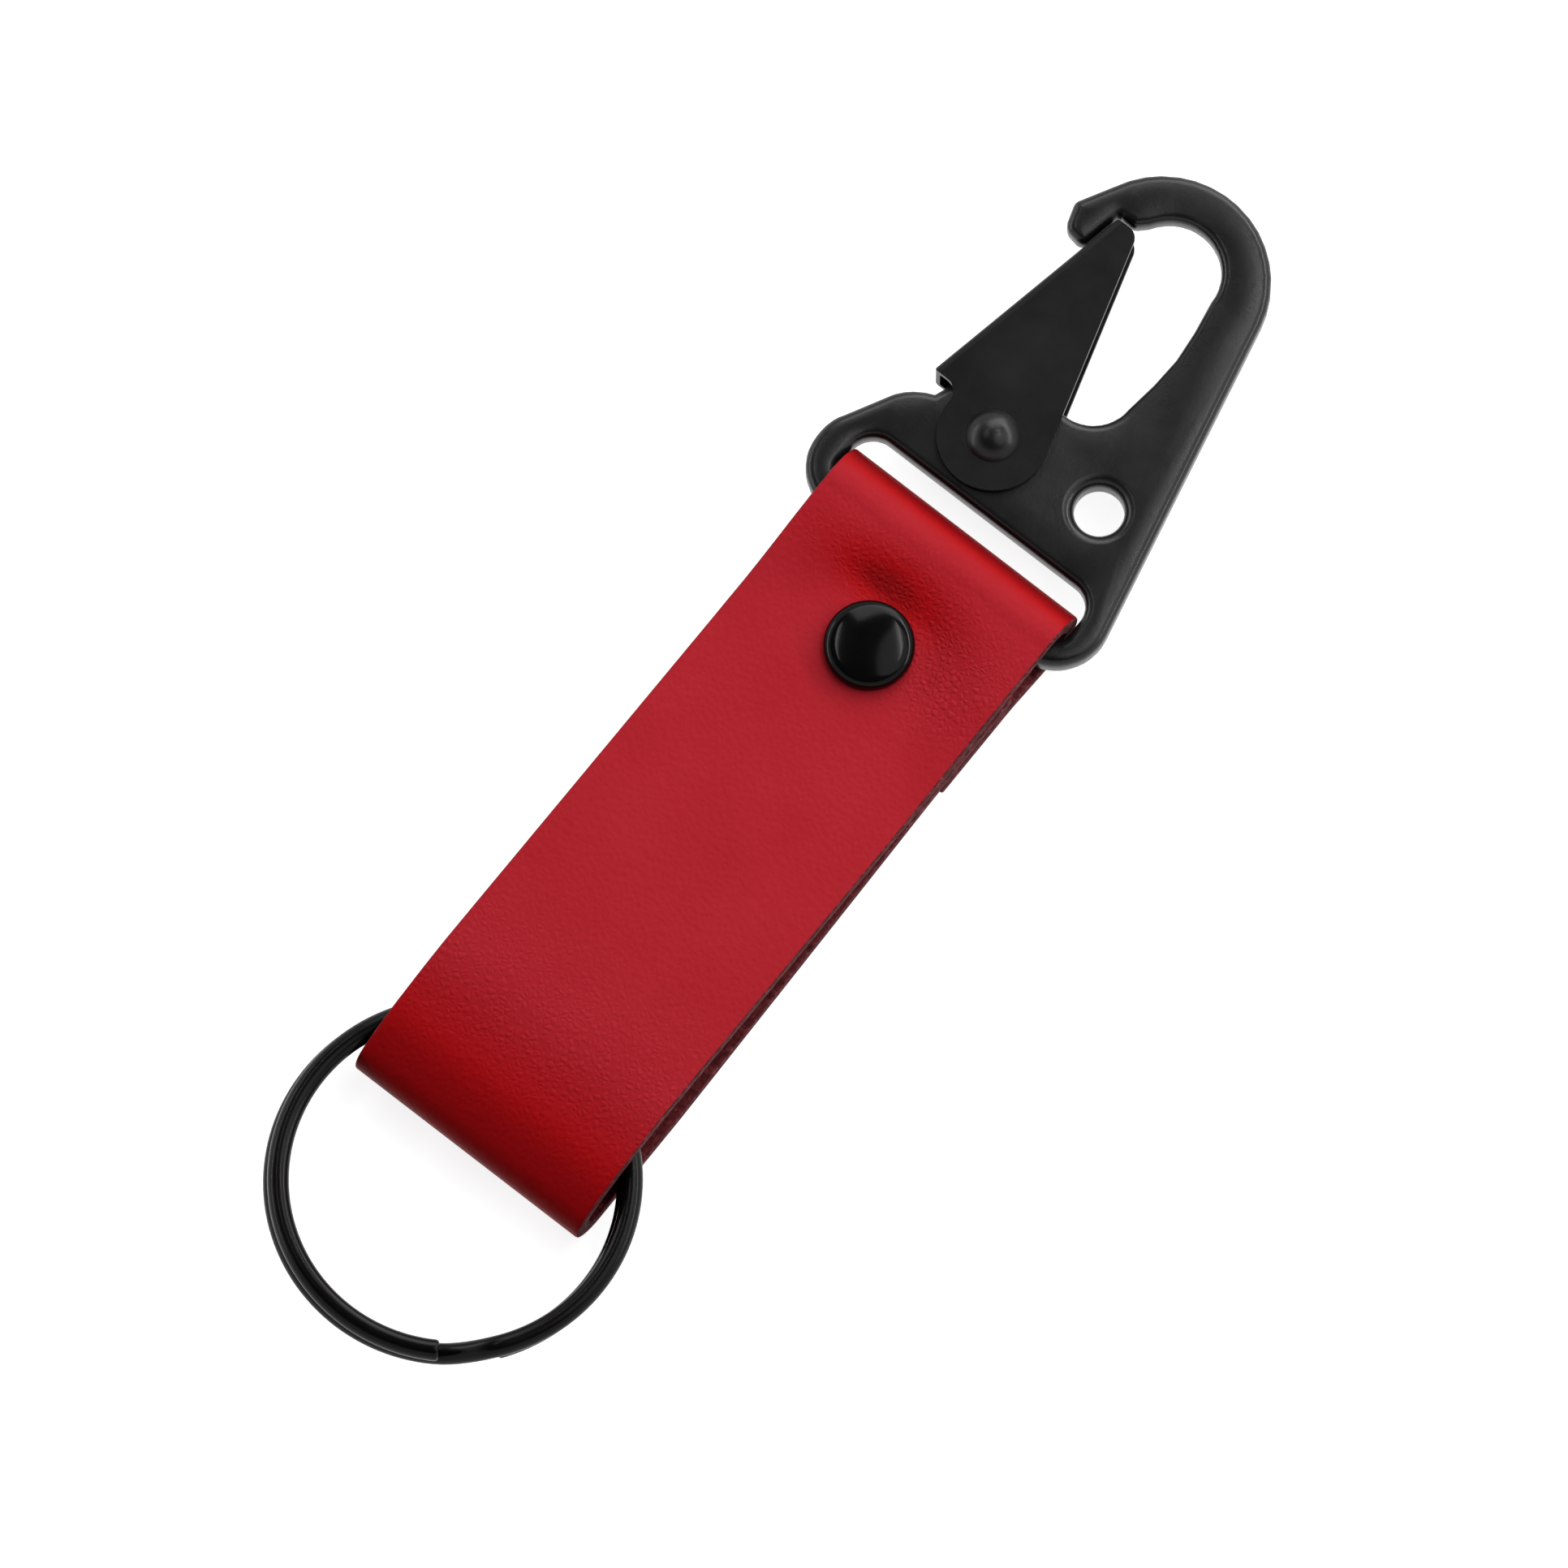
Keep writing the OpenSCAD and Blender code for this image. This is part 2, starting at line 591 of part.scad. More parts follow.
// Solid bar along the gate's web, with a round edge at each wall
module gate_section(half_h, web_r, r, l) {
    translate([pivot.x, pivot.y, 0]) rotate([0, 0, -gate_lean_deg])
        translate([0, l / 2 - overrun - gate_end_r, 0])
        rotate([90, 0, 0]) linear_extrude(l + 2 * gate_end_r, center = true) {
            translate([-web_r + r, -half_h]) square([web_r + 2 * gate_end_r, 2 * half_h]);
            translate([-web_r, r - half_h]) square([r, 2 * (half_h - r)]);
            for (side = [-1, 1]) translate([r - web_r, side * (half_h - r)]) circle(r);
        }
}

// Rivet that the gate turns on
module gate_pivot() {
    color([0.14, 0.14, 0.15]) at_pivot() {
        translate([0, 0, -head_z]) cylinder(d = pivot_d, h = 2 * head_z);
        translate([0, 0, head_z]) pivot_head(pivot_dome_h);
        mirror([0, 0, 1]) translate([0, 0, head_z]) pivot_head(pivot_tail_h);
    }
}
// Dome of a given height on the pivot's head
module pivot_head(h) {
    r = (pow(pivot_head_d / 2, 2) + h * h) / (2 * h);
    rotate_extrude() intersection() {
        translate([0, h - r]) circle(r, $fn = 2 * $fn);
        square([pivot_head_d / 2, h]);
    }
}

// Wire of the gate spring: frame leg, coil and the leg along the gate's web
coil_from_deg = coil_end_deg + coil_sweep_deg;
coil_to_deg = coil_end_deg;
coil_steps = ceil((coil_from_deg - coil_to_deg) / 360 * spring_rings);
coil_low = (spring_wire_d - plate_t) / 2;
function coil_at(a) =
    [spring_r * cos(a), spring_r * sin(a),
     coil_low + spring_pitch * (coil_from_deg - a) / 360];
function coil_way(a) = [sin(a), -cos(a), 0];
spring_path = concat(
    [coil_at(coil_from_deg) - spring_frame_leg * coil_way(coil_from_deg)],
    [for (k = [0:coil_steps])
        coil_at(coil_from_deg + (coil_to_deg - coil_from_deg) * k / coil_steps)],
    [coil_at(coil_to_deg) + spring_gate_leg * coil_way(coil_to_deg)]
);
echo(spring_least_gap = least_gap(spring_path, spring_wire_d, spring_rings));
module gate_spring() {
    color([0.6, 0.6, 0.62]) at_pivot() tube(spring_path, spring_wire_d, spring_sides);
}

// Middle of the split ring's wire: a lower turn, a step and an upper turn
ring_from_deg = ring_step_deg + ring_step_span_deg / 2;
ring_sweep_deg = 720 - ring_step_span_deg;
ring_steps = ceil(2 * ring_rings);
// Share of the step that is climbed, from one half below to one half above
function ring_climb(a) =
    let (t = max(0, min(1, (a - 360 + ring_step_span_deg) / ring_step_span_deg)))
    t * t * (3 - 2 * t) - 1 / 2;
function ring_at(a) =
    let (climb = ring_climb(a))
    [ring_r * cos(ring_from_deg + a) + ring_turn_shift * climb,
     ring_r * sin(ring_from_deg + a), ring_pitch * climb];
ring_path = [for (k = [0:ring_steps]) ring_at(ring_sweep_deg * k / ring_steps)];
echo(ring_least_gap = least_gap(ring_path, ring_wire_d, ring_rings));
module split_ring() {
    color([0.07, 0.07, 0.08]) in_frame() translate([ring_x, ring_y, ring_z])
        tube(ring_path, ring_wire_d, ring_sides);
}

leather_strap();
rivet_front_cap();
rivet_socket();
rivet_post();
rivet_rear_cap();
hook_frame();
hook_gate();
gate_pivot();
gate_spring();
split_ring();
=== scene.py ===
"""Looks of a leather key fob: a red leather strap riveted between a black snap hook and a split ring."""

import logging
import math
from dataclasses import dataclass, field
from enum import Enum, IntEnum
from typing import Callable, Iterable

import bmesh
import bpy
import numpy as np
from mathutils import Matrix, Vector

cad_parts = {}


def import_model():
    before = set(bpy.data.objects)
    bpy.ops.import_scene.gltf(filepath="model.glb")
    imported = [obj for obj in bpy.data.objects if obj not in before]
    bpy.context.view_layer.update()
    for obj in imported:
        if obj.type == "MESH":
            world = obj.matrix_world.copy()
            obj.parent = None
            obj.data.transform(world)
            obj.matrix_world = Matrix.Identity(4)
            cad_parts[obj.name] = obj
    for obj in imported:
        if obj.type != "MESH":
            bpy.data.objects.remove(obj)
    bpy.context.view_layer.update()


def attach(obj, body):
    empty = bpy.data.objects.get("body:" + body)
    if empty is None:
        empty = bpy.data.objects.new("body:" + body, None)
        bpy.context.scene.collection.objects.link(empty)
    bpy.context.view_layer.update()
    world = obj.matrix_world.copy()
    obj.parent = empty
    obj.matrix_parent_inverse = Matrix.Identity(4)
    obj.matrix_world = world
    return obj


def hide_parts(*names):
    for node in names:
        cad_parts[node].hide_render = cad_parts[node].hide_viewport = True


LOG = logging.getLogger("key_fob")
# A millimetre in metres
MM = 0.001
# Vertices nearer than this are merged
TOUCH = 2e-6
# How far from its reckoned place a vertex is still found
REACH = 0.02 * MM
# Edges sharper than this are bevelled
SHARP = math.radians(60.0)
# Faces that meet at less than this shade as one, on swept and folded pieces and on turned ones
SWEPT_CREASE = math.radians(40.0)
TURNED_CREASE = math.radians(35.0)
WHITE = (1.0, 1.0, 1.0, 1.0)


class Body(Enum):
    """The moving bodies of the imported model."""

    STRAP = "strap"
    HOOK = "hook"
    GATE = "gate"
    RING = "ring"


class Slot(Enum):
    """The record's material slots."""

    LEATHER = "strap_leather"
    RIVET = "rivet_black"
    RIVET_STEEL = "rivet_steel"
    HOOK = "hook_black"
    GATE = "gate_black"
    PIVOT = "pivot_black"
    SPRING = "spring_steel"
    RING = "ring_black"


class Side(IntEnum):
    """The strap's own material slots, in the order in which its mesh holds them."""

    GRAIN = 0
    EDGE = 1
    FLESH = 2


class LampShape(Enum):
    """The outlines that a soft box can have."""

    BOX = "RECTANGLE"
    DISC = "ELLIPSE"


def ease(share: float | np.ndarray) -> float | np.ndarray:
    """Turn an even climb from 0 to 1 into one that starts and ends level."""
    return share * share * (3 - 2 * share)


def linear(colour: str) -> tuple[float, float, float, float]:
    """Turn an sRGB hex colour into the linear colour that a shader takes.

    Args:
        colour: Six hex digits after a hash.

    Returns:
        Red, green, blue and alpha.
    """
    parts = [int(colour[i : i + 2], 16) / 255 for i in (1, 3, 5)]
    return (*(c / 12.92 if c <= 0.04045 else ((c + 0.055) / 1.055) ** 2.4 for c in parts), 1.0)


def add_node(tree: bpy.types.NodeTree, kind: str, settings: dict | None = None,
             **links: object) -> bpy.types.Node:
    """Add a shader node with its settings and the values or links of its inputs.

    Args:
        tree: The node tree that gets the node.
        kind: The node's Blender type.
        settings: Properties of the node, and stops as a list of places and colours for a ramp.
        **links: Input names, with _ for a space, and what each takes: a socket or a plain value.
            A name that ends in _N is the input at that index.

    Returns:
        The new node.
    """
    node = tree.nodes.new(kind)
    for key, value in (settings or {}).items():
        if key == "stops":
            ramp = node.color_ramp
            while len(ramp.elements) < len(value):
                ramp.elements.new(1.0)
            for element, (place, colour) in zip(ramp.elements, value):
                element.position = place
                element.color = colour if not isinstance(colour, str) else linear(colour)
        else:
            setattr(node, key, value)
    for key, value in links.items():
        tail = key.rsplit("_", 1)[-1]
        socket = node.inputs[int(tail)] if tail.isdigit() else node.inputs[key.replace("_", " ")]
        if isinstance(value, bpy.types.NodeSocket):
            tree.links.new(value, socket)
        else:
            socket.default_value = value
    return node


def new_material(name: str) -> tuple[bpy.types.Material, bpy.types.NodeTree]:
    """Make an empty node material.

    Args:
        name: The material's name.

    Returns:
        The material and its node tree.
    """
    material = bpy.data.materials.new(name)
    material.use_nodes = True
    material.node_tree.nodes.clear()
    return material, material.node_tree


def surface(tree: bpy.types.NodeTree, shader: bpy.types.Node) -> None:
    """Join a shader to the material's output."""
    add_node(tree, "ShaderNodeOutputMaterial", Surface=shader.outputs[0])


@dataclass(frozen=True)
class PlatedLeather:
    """Pigment-coated cowhide, plated smooth over a fine pebble grain.

    The pigment film gives an even red with a soft, wide sheen; the grain only shows where the hide is
    squeezed.
    """

    name: str = "red_pigmented_leather"
    lit: str = "#AC222C"
    deep: str = "#A71D27"
    # Painted shade in the grain's grooves
    groove_shade: str = "#8E0E17"
    # Painted shade: a purer red without sheen, then a dark red, where the front turns away from the light
    shade_red: str = "#A60C11"
    shade_dark: str = "#5A0408"
    roughness: float = 0.45
    specular: float = 0.055
    ior: float = 1.46
    # Real pores are nearer 0.1 mm across, too fine to show, so they are drawn coarser
    pore_mm: float = 0.22
    pebble_mm: float = 0.5
    crease_mm: float = 0.55
    cloud_mm: float = 9.0
    # How far the pebbles and creases are bent out of line, and in waves of what length
    warp_mm: tuple[float, float] = (0.35, 2.2)
    crease_width: float = 0.45
    # How far the painted shade darkens the grooves
    groove_shade_depth: float = 0.3
    # How much smoother and how much rougher the pores make the film
    pore_gloss: tuple[float, float] = (0.05, 0.07)
    # The strength of each layer of relief and its height in millimetres
    pore_relief: tuple[float, float] = (0.16, 0.05)
    pebble_relief: tuple[float, float] = (0.5, 0.07)
    crease_relief: tuple[float, float] = (0.75, 0.1)

    def material(self) -> bpy.types.Material:
        """Build the leather's material.

        Returns:
            A material that reads the strip's UV map, its crease attribute and its attribute of painted
            shade.
        """
        material, tree = new_material(self.name)
        strip = add_node(tree, "ShaderNodeUVMap", {"uv_map": "strip"}).outputs["UV"]
        crease = add_node(tree, "ShaderNodeAttribute", {"attribute_name": "crease"}).outputs["Fac"]
        # Painted shade: how far the front is darkened where it turns away from the light
        burnish = add_node(tree, "ShaderNodeAttribute", {"attribute_name": "burnish"}).outputs["Fac"]
        shift, wave = self.warp_mm
        warp = add_node(tree, "ShaderNodeTexNoise", Vector=strip, Scale=1 / (wave * MM), Detail=2.0)
        bent = add_node(
            tree, "ShaderNodeVectorMath", {"operation": "MULTIPLY_ADD"},
            _0=warp.outputs["Color"], _1=(shift * MM, shift * MM, 0.0), _2=strip,
        ).outputs[0]
        pebble = add_node(
            tree, "ShaderNodeTexVoronoi", {"feature": "SMOOTH_F1"},
            Vector=bent, Scale=1 / (self.pebble_mm * MM), Smoothness=0.5,
        ).outputs["Distance"]
        pore = add_node(
            tree, "ShaderNodeTexNoise",
            Vector=strip, Scale=1 / (self.pore_mm * MM), Detail=3.0, Roughness=0.6,
        ).outputs["Fac"]
        fold = add_node(
            tree, "ShaderNodeTexVoronoi", {"feature": "DISTANCE_TO_EDGE"},
            Vector=bent, Scale=1 / (self.crease_mm * MM),
        ).outputs["Distance"]
        groove = add_node(
            tree, "ShaderNodeMapRange", {"interpolation_type": "SMOOTHSTEP"},
            Value=fold, From_Min=0.0, From_Max=self.crease_width, To_Min=0.0, To_Max=1.0,
        ).outputs["Result"]
        grooved = add_node(
            tree, "ShaderNodeMix", {"data_type": "FLOAT"}, _0=crease, _2=1.0, _3=groove
        ).outputs[0]
        cloud = add_node(
            tree, "ShaderNodeTexNoise",
            Vector=strip, Scale=1 / (self.cloud_mm * MM), Detail=4.0, Roughness=0.55,
        ).outputs["Fac"]
        tint = add_node(
            tree, "ShaderNodeValToRGB", {"stops": [(0.3, self.deep), (0.7, self.lit)]}, Fac=cloud
        ).outputs["Color"]
        # Painted shade: the grooves of the creases are darkened
        groove_shading = add_node(
            tree, "ShaderNodeMapRange",
            Value=grooved, From_Min=0.0, From_Max=1.0, To_Min=self.groove_shade_depth, To_Max=0.0,
        ).outputs["Result"]
        dark = add_node(
            tree, "ShaderNodeMix", {"data_type": "RGBA"}, _0=groove_shading, _6=tint, _7=linear(self.groove_shade)
        ).outputs[2]
        # Painted shade: where the front turns away from the light it is first a purer red, without sheen,
        # and then darker
        reddening, shaded = (
            add_node(tree, "ShaderNodeMapRange", Value=burnish, From_Min=low, From_Max=low + 0.5).outputs[0]
            for low in (0.0, 0.5)
        )
        pure = add_node(
            tree, "ShaderNodeMix", {"data_type": "RGBA"}, _0=reddening, _6=dark, _7=linear(self.shade_red)
        ).outputs[2]
        colour = add_node(
            tree, "ShaderNodeMix", {"data_type": "RGBA"}, _0=shaded, _6=pure, _7=linear(self.shade_dark)
        ).outputs[2]
        smoother, rougher = self.pore_gloss
        rough = add_node(
            tree, "ShaderNodeMapRange", Value=pore, From_Min=0.3, From_Max=0.7,
            To_Min=self.roughness - smoother, To_Max=self.roughness + rougher,
        ).outputs["Result"]
        strength, height = self.pore_relief
        bump = add_node(tree, "ShaderNodeBump", Height=pore, Strength=strength, Distance=height * MM)
        for relief, (strength, height) in ((pebble, self.pebble_relief), (grooved, self.crease_relief)):
            bump = add_node(
                tree, "ShaderNodeBump",
                Height=relief, Strength=strength, Distance=height * MM, Normal=bump.outputs[0],
            )
        shader = add_node(
            tree, "ShaderNodeBsdfPrincipled", Base_Color=colour, Roughness=rough, IOR=self.ior,
            Specular_IOR_Level=self.specular, Normal=bump.outputs[0],
        )
        surface(tree, shader)
        return material


@dataclass(frozen=True)
class FibreLeather:
    """Raw cowhide fibre, as a cut edge or the flesh side shows it: matt, mottled and slightly hairy."""

    name: str
    base: str
    pale: str
    dark: str
    fibre_mm: float = 0.35
    clump_mm: float = 0.6
    nap_mm: float = 0.12
    nap_strength: float = 0.8
    roughness: float = 0.82
    ior: float = 1.4
    specular: float = 0.12
    sheen: float = 0.03

    def material(self) -> bpy.types.Material:
        """Build the raw fibre's material.

        Returns:
            A material that reads Object coordinates.
        """
        material, tree = new_material(self.name)
        place = add_node(tree, "ShaderNodeTexCoord").outputs["Object"]
        clump = add_node(
            tree, "ShaderNodeTexNoise",
            Vector=place, Scale=1 / (self.clump_mm * MM), Detail=5.0, Roughness=0.7,
        ).outputs["Fac"]
        fibre = add_node(
            tree, "ShaderNodeTexNoise",
            Vector=place, Scale=1 / (self.fibre_mm * MM), Detail=4.0, Distortion=0.8,
        ).outputs["Fac"]
        colour = add_node(
            tree, "ShaderNodeValToRGB",
            {"stops": [(0.32, self.dark), (0.52, self.base), (0.72, self.pale)]}, Fac=clump,
        ).outputs["Color"]
        bump = add_node(
            tree, "ShaderNodeBump", Height=fibre, Strength=self.nap_strength, Distance=self.nap_mm * MM
        )
        shader = add_node(
            tree, "ShaderNodeBsdfPrincipled", Base_Color=colour, Roughness=self.roughness, IOR=self.ior,
            Specular_IOR_Level=self.specular, Sheen_Weight=self.sheen, Normal=bump.outputs[0],
        )
        surface(tree, shader)
        return material


@dataclass(frozen=True)
class BlackPaint:
    """Baked black paint over metal.

    The film is a dielectric: near black with a reflection that is sharper the glossier it was baked, and a
    faint orange peel that breaks the highlights.
    """

    name: str
    colour: str
    worn: str
    roughness: float
    spread: float = 0.06
    peel_mm: float = 0.9
    peel_height_mm: float = 0.01
    # Real grit in such paint is about 0.1 mm, too fine to show, so it is drawn coarser
    grit_mm: float = 0.18
    grit_height_mm: float = 0.004
    dust_mm: float = 5.0
    ior: float = 1.5
    specular: float = 0.5

    def material(self) -> bpy.types.Material:
        """Build the paint's material.

        Returns:
            A material that reads Object coordinates.
        """
        material, tree = new_material(self.name)
        place = add_node(tree, "ShaderNodeTexCoord").outputs["Object"]
        peel = add_node(
            tree, "ShaderNodeTexNoise", Vector=place, Scale=1 / (self.peel_mm * MM), Detail=2.0
        ).outputs["Fac"]
        grit = add_node(
            tree, "ShaderNodeTexNoise",
            Vector=place, Scale=1 / (self.grit_mm * MM), Detail=3.0, Roughness=0.6,
        ).outputs["Fac"]
        dust = add_node(
            tree, "ShaderNodeTexNoise",
            Vector=place, Scale=1 / (self.dust_mm * MM), Detail=5.0, Roughness=0.6,
        ).outputs["Fac"]
        colour = add_node(
            tree, "ShaderNodeValToRGB", {"stops": [(0.35, self.colour), (0.8, self.worn)]}, Fac=dust
        ).outputs["Color"]
        rough = add_node(
            tree, "ShaderNodeMapRange", Value=dust, From_Min=0.3, From_Max=0.7,
            To_Min=self.roughness - self.spread, To_Max=self.roughness + self.spread,
        ).outputs["Result"]
        bump_grit = add_node(
            tree, "ShaderNodeBump", Height=grit, Strength=1.0, Distance=self.grit_height_mm * MM
        )
        bump_peel = add_node(
            tree, "ShaderNodeBump", Height=peel, Strength=1.0, Distance=self.peel_height_mm * MM,
            Normal=bump_grit.outputs[0],
        )
        shader = add_node(
            tree, "ShaderNodeBsdfPrincipled", Base_Color=colour, Roughness=rough, IOR=self.ior,
            Specular_IOR_Level=self.specular, Normal=bump_peel.outputs[0],
        )
        surface(tree, shader)
        return material


@dataclass(frozen=True)
class WhitePaper:
    """Matt studio paper: faintly toothed, and seen as white while it lights the fob as pale grey."""

    name: str = "white_paper"
    colour: str = "#B4B4B4"
    tooth_mm: float = 0.8
    tooth_height_mm: float = 0.02
    # Metres from the middle at which the paper starts to whiten and is white, and how white it starts
    whitening: tuple[float, float] = (0.25, 1.2)
    near_white: float = 0.86

    def material(self) -> bpy.types.Material:
        """Build the paper's material.

        Returns:
            A material that reads Object coordinates.
        """
        material, tree = new_material(self.name)
        place = add_node(tree, "ShaderNodeTexCoord").outputs["Object"]
        tooth = add_node(
            tree, "ShaderNodeTexNoise", Vector=place, Scale=1 / (self.tooth_mm * MM), Detail=3.0
        ).outputs["Fac"]
        bump = add_node(
            tree, "ShaderNodeBump", Height=tooth, Strength=0.05, Distance=self.tooth_height_mm * MM
        ).outputs[0]
        sheet = add_node(tree, "ShaderNodeBsdfDiffuse", Color=linear(self.colour), Normal=bump)
        far = add_node(tree, "ShaderNodeVectorMath", {"operation": "LENGTH"}, _0=place).outputs["Value"]
        near, white_from = self.whitening
        white = add_node(
            tree, "ShaderNodeMapRange",
            Value=far, From_Min=near, From_Max=white_from, To_Min=self.near_white, To_Max=1.0,
        ).outputs["Result"]
        lift = add_node(
            tree, "ShaderNodeMath", {"operation": "MULTIPLY"}, _0=self.seen_white(tree), _1=white
        ).outputs[0]
        glow = add_node(tree, "ShaderNodeEmission", Color=WHITE, Strength=lift)
        surface(tree, add_node(tree, "ShaderNodeAddShader", _0=sheet.outputs[0], _1=glow.outputs[0]))
        return material

    @staticmethod
    def seen_white(tree: bpy.types.NodeTree) -> bpy.types.NodeSocket:
        """Tell rays that show the background from those that only light the fob.

        Args:
            tree: The paper's node tree.

        Returns:
            A socket that is 1 for camera, glossy and transmission rays and 0 for the others.
        """
        rays = add_node(tree, "ShaderNodeLightPath").outputs
        shown = rays["Is Camera Ray"]
        for other in ("Is Glossy Ray", "Is Transmission Ray"):
            shown = add_node(
                tree, "ShaderNodeMath", {"operation": "MAXIMUM"}, _0=shown, _1=rays[other]
            ).outputs[0]
        return shown


@dataclass(frozen=True)
class DrawnSteel:
    """Drawn or turned steel with a thin zinc plating: a grey metal with fine marks along its length."""

    name: str = "zinc_plated_steel"
    colour: str = "#9A9A98"
    dull: str = "#7C7B78"
    roughness: float = 0.34
    mark_mm: float = 0.12
    mark_height_mm: float = 0.01

    def material(self) -> bpy.types.Material:
        """Build the plated steel's material.

        Returns:
            A material that reads Object coordinates.
        """
        material, tree = new_material(self.name)
        place = add_node(tree, "ShaderNodeTexCoord").outputs["Object"]
        marks = add_node(
            tree, "ShaderNodeTexNoise", Vector=place, Scale=1 / (self.mark_mm * MM), Detail=3.0
        ).outputs["Fac"]
        colour = add_node(
            tree, "ShaderNodeValToRGB", {"stops": [(0.35, self.dull), (0.65, self.colour)]}, Fac=marks
        ).outputs["Color"]
        bump = add_node(
            tree, "ShaderNodeBump", Height=marks, Strength=0.4, Distance=self.mark_height_mm * MM
        )
        shader = add_node(
            tree, "ShaderNodeBsdfPrincipled", Base_Color=colour, Metallic=1.0, Roughness=self.roughness,
            Normal=bump.outputs[0],
        )
        surface(tree, shader)
        return material


# Zinc alloy casting under satin black powder: dark, with a broad dull reflection and a fine grit
HOOK_PAINT = BlackPaint(
    "hook_satin_black_zinc", "#0E0E0E", "#151515", 0.28, spread=0.03, peel_mm=1.3, grit_mm=0.3,
    grit_height_mm=0.008, specular=0.34,
)
# Pressed steel sheet under thin matt black paint: flatter and a shade darker than the casting
GATE_PAINT = BlackPaint(
    "gate_matt_black_steel", "#0D0D0D", "#121213", 0.34, grit_mm=0.3, grit_height_mm=0.006, specular=0.17,
)
# Pressed steel cap under black lacquer: sharp, small highlights on a film that is all but black
CAP_LACQUER = BlackPaint(
    "cap_gloss_black_steel", "#050506", "#09090A", 0.13, spread=0.02, grit_height_mm=0.0005,
    peel_height_mm=0.003, specular=0.12,
)
# Steel rivet under the gate's own black, polished by handling
PIVOT_LACQUER = BlackPaint(
    "pivot_black_steel", "#0A0A0B", "#101011", 0.3, spread=0.03, grit_height_mm=0.001, peel_height_mm=0.004,
    specular=0.3,
)
# Spring steel wire under gloss black stove enamel: two long thin highlights
RING_ENAMEL = BlackPaint(
    "ring_gloss_black_wire", "#070605", "#0C0B0A", 0.24, spread=0.04, grit_height_mm=0.001,
    peel_height_mm=0.004, specular=0.14,
)
# The hide's dyed fibre where the knife went through it: matt burgundy, mottled with paler ends
CUT_EDGE = FibreLeather("cut_leather_edge", "#68252A", "#AC6166", "#2A0B0E")
# The hide's inner side, brushed to a short nap: matt, softer and more even than the cut
FLESH_SIDE = FibreLeather("flesh_side_leather", "#6A262A", "#8C4448", "#3A1114", fibre_mm=0.5)


def settle() -> None:
    """Leave edit mode, if it is on, and deselect everything."""
    if bpy.context.object is not None and bpy.context.object.mode != "OBJECT":
        bpy.ops.object.mode_set(mode="OBJECT")
    bpy.ops.object.select_all(action="DESELECT")


def pick(obj: bpy.types.Object) -> None:
    """Make an object the only selected one and the active one.

    Args:
        obj: The object.
    """
    settle()
    obj.select_set(True)
    bpy.context.view_layer.objects.active = obj


def choose_verts(test: Callable[[Vector], bool]) -> int:
    """Select the vertices of the mesh in edit mode that pass a test, and what lies between them.

    Args:
        test: Takes a vertex's place and says whether it is selected.

    Returns:
        How many vertices are selected.
    """
    bpy.ops.mesh.select_mode(type="VERT")
    bpy.ops.mesh.select_all(action="DESELECT")
    mesh = bpy.context.edit_object.data
    shell = bmesh.from_edit_mesh(mesh)
    count = 0
    for vert in shell.verts:
        if test(vert.co):
            vert.select = True
            count += 1
    shell.select_flush(True)
    bmesh.update_edit_mesh(mesh)
    return count


def choose_edges(test: Callable[[Vector, Vector], bool]) -> int:
    """Select the edges of the mesh in edit mode that pass a test.

    Args:
        test: Takes the places of an edge's two ends and says whether it is selected.

    Returns:
        How many edges are selected.
    """
    bpy.ops.mesh.select_mode(type="EDGE")
    bpy.ops.mesh.select_all(action="DESELECT")
    mesh = bpy.context.edit_object.data
    shell = bmesh.from_edit_mesh(mesh)
    count = 0
    for edge in shell.edges:
        if test(edge.verts[0].co, edge.verts[1].co):
            edge.select_set(True)
            count += 1
    bmesh.update_edit_mesh(mesh)
    return count


def spin_selected(steps: int, angle: float, centre: tuple[float, float, float],
                  axis: tuple[float, float, float]) -> None:
    """Spin what is selected in edit mode round an axis, anticlockwise for a positive angle.

    Args:
        steps: How many copies it leaves.
        angle: The whole turn in radians.
        centre: A point of the axis in metres.
        axis: The axis's direction.
    """
    # The operator itself turns clockwise about the axis
    bpy.ops.mesh.spin(steps=steps, angle=-angle, use_auto_merge=False, center=centre, axis=axis)


def apply_modifier(obj: bpy.types.Object, kind: str, **settings: object) -> None:
    """Add a modifier to obj with its settings and apply it.

    Args:
        obj: The mesh object.
        kind: The modifier's Blender type.
        **settings: The modifier's properties.
    """
    pick(obj)
    modifier = obj.modifiers.new(kind.lower(), kind)
    for key, value in settings.items():
        setattr(modifier, key, value)
    bpy.ops.object.modifier_apply(modifier=modifier.name)


def dress(obj: bpy.types.Object, material: bpy.types.Material) -> None:
    """Give obj one material in place of all that it has."""
    obj.data.materials.clear()
    obj.data.materials.append(material)


def smooth_twin(node: str, name: str, material: bpy.types.Material, body: Body,
                crease_deg: float = 32.0) -> bpy.types.Object:
    """Copy a CAD node into a piece of its own whose curved faces shade as one, and let it stand in.

    Args:
        node: The CAD node's name.
        name: The new piece's name.
        material: What it is made of.
        body: The body that it rides on.
        crease_deg: Faces that meet at less than this many degrees shade as one.

    Returns:
        The new piece.
    """
    twin = bpy.data.objects.new(name, bpy.data.objects[node].data.copy())
    bpy.context.scene.collection.objects.link(twin)
    pick(twin)
    bpy.ops.object.mode_set(mode="EDIT")
    bpy.ops.mesh.select_all(action="SELECT")
    bpy.ops.mesh.customdata_custom_splitnormals_clear()
    bpy.ops.mesh.remove_doubles(threshold=TOUCH)
    bpy.ops.object.mode_set(mode="OBJECT")
    bpy.ops.object.shade_smooth_by_angle(angle=math.radians(crease_deg))
    stand_in(twin, node, material, body)
    LOG.info("piece %s stands for %s: %d faces", name, node, len(twin.data.polygons))
    return twin


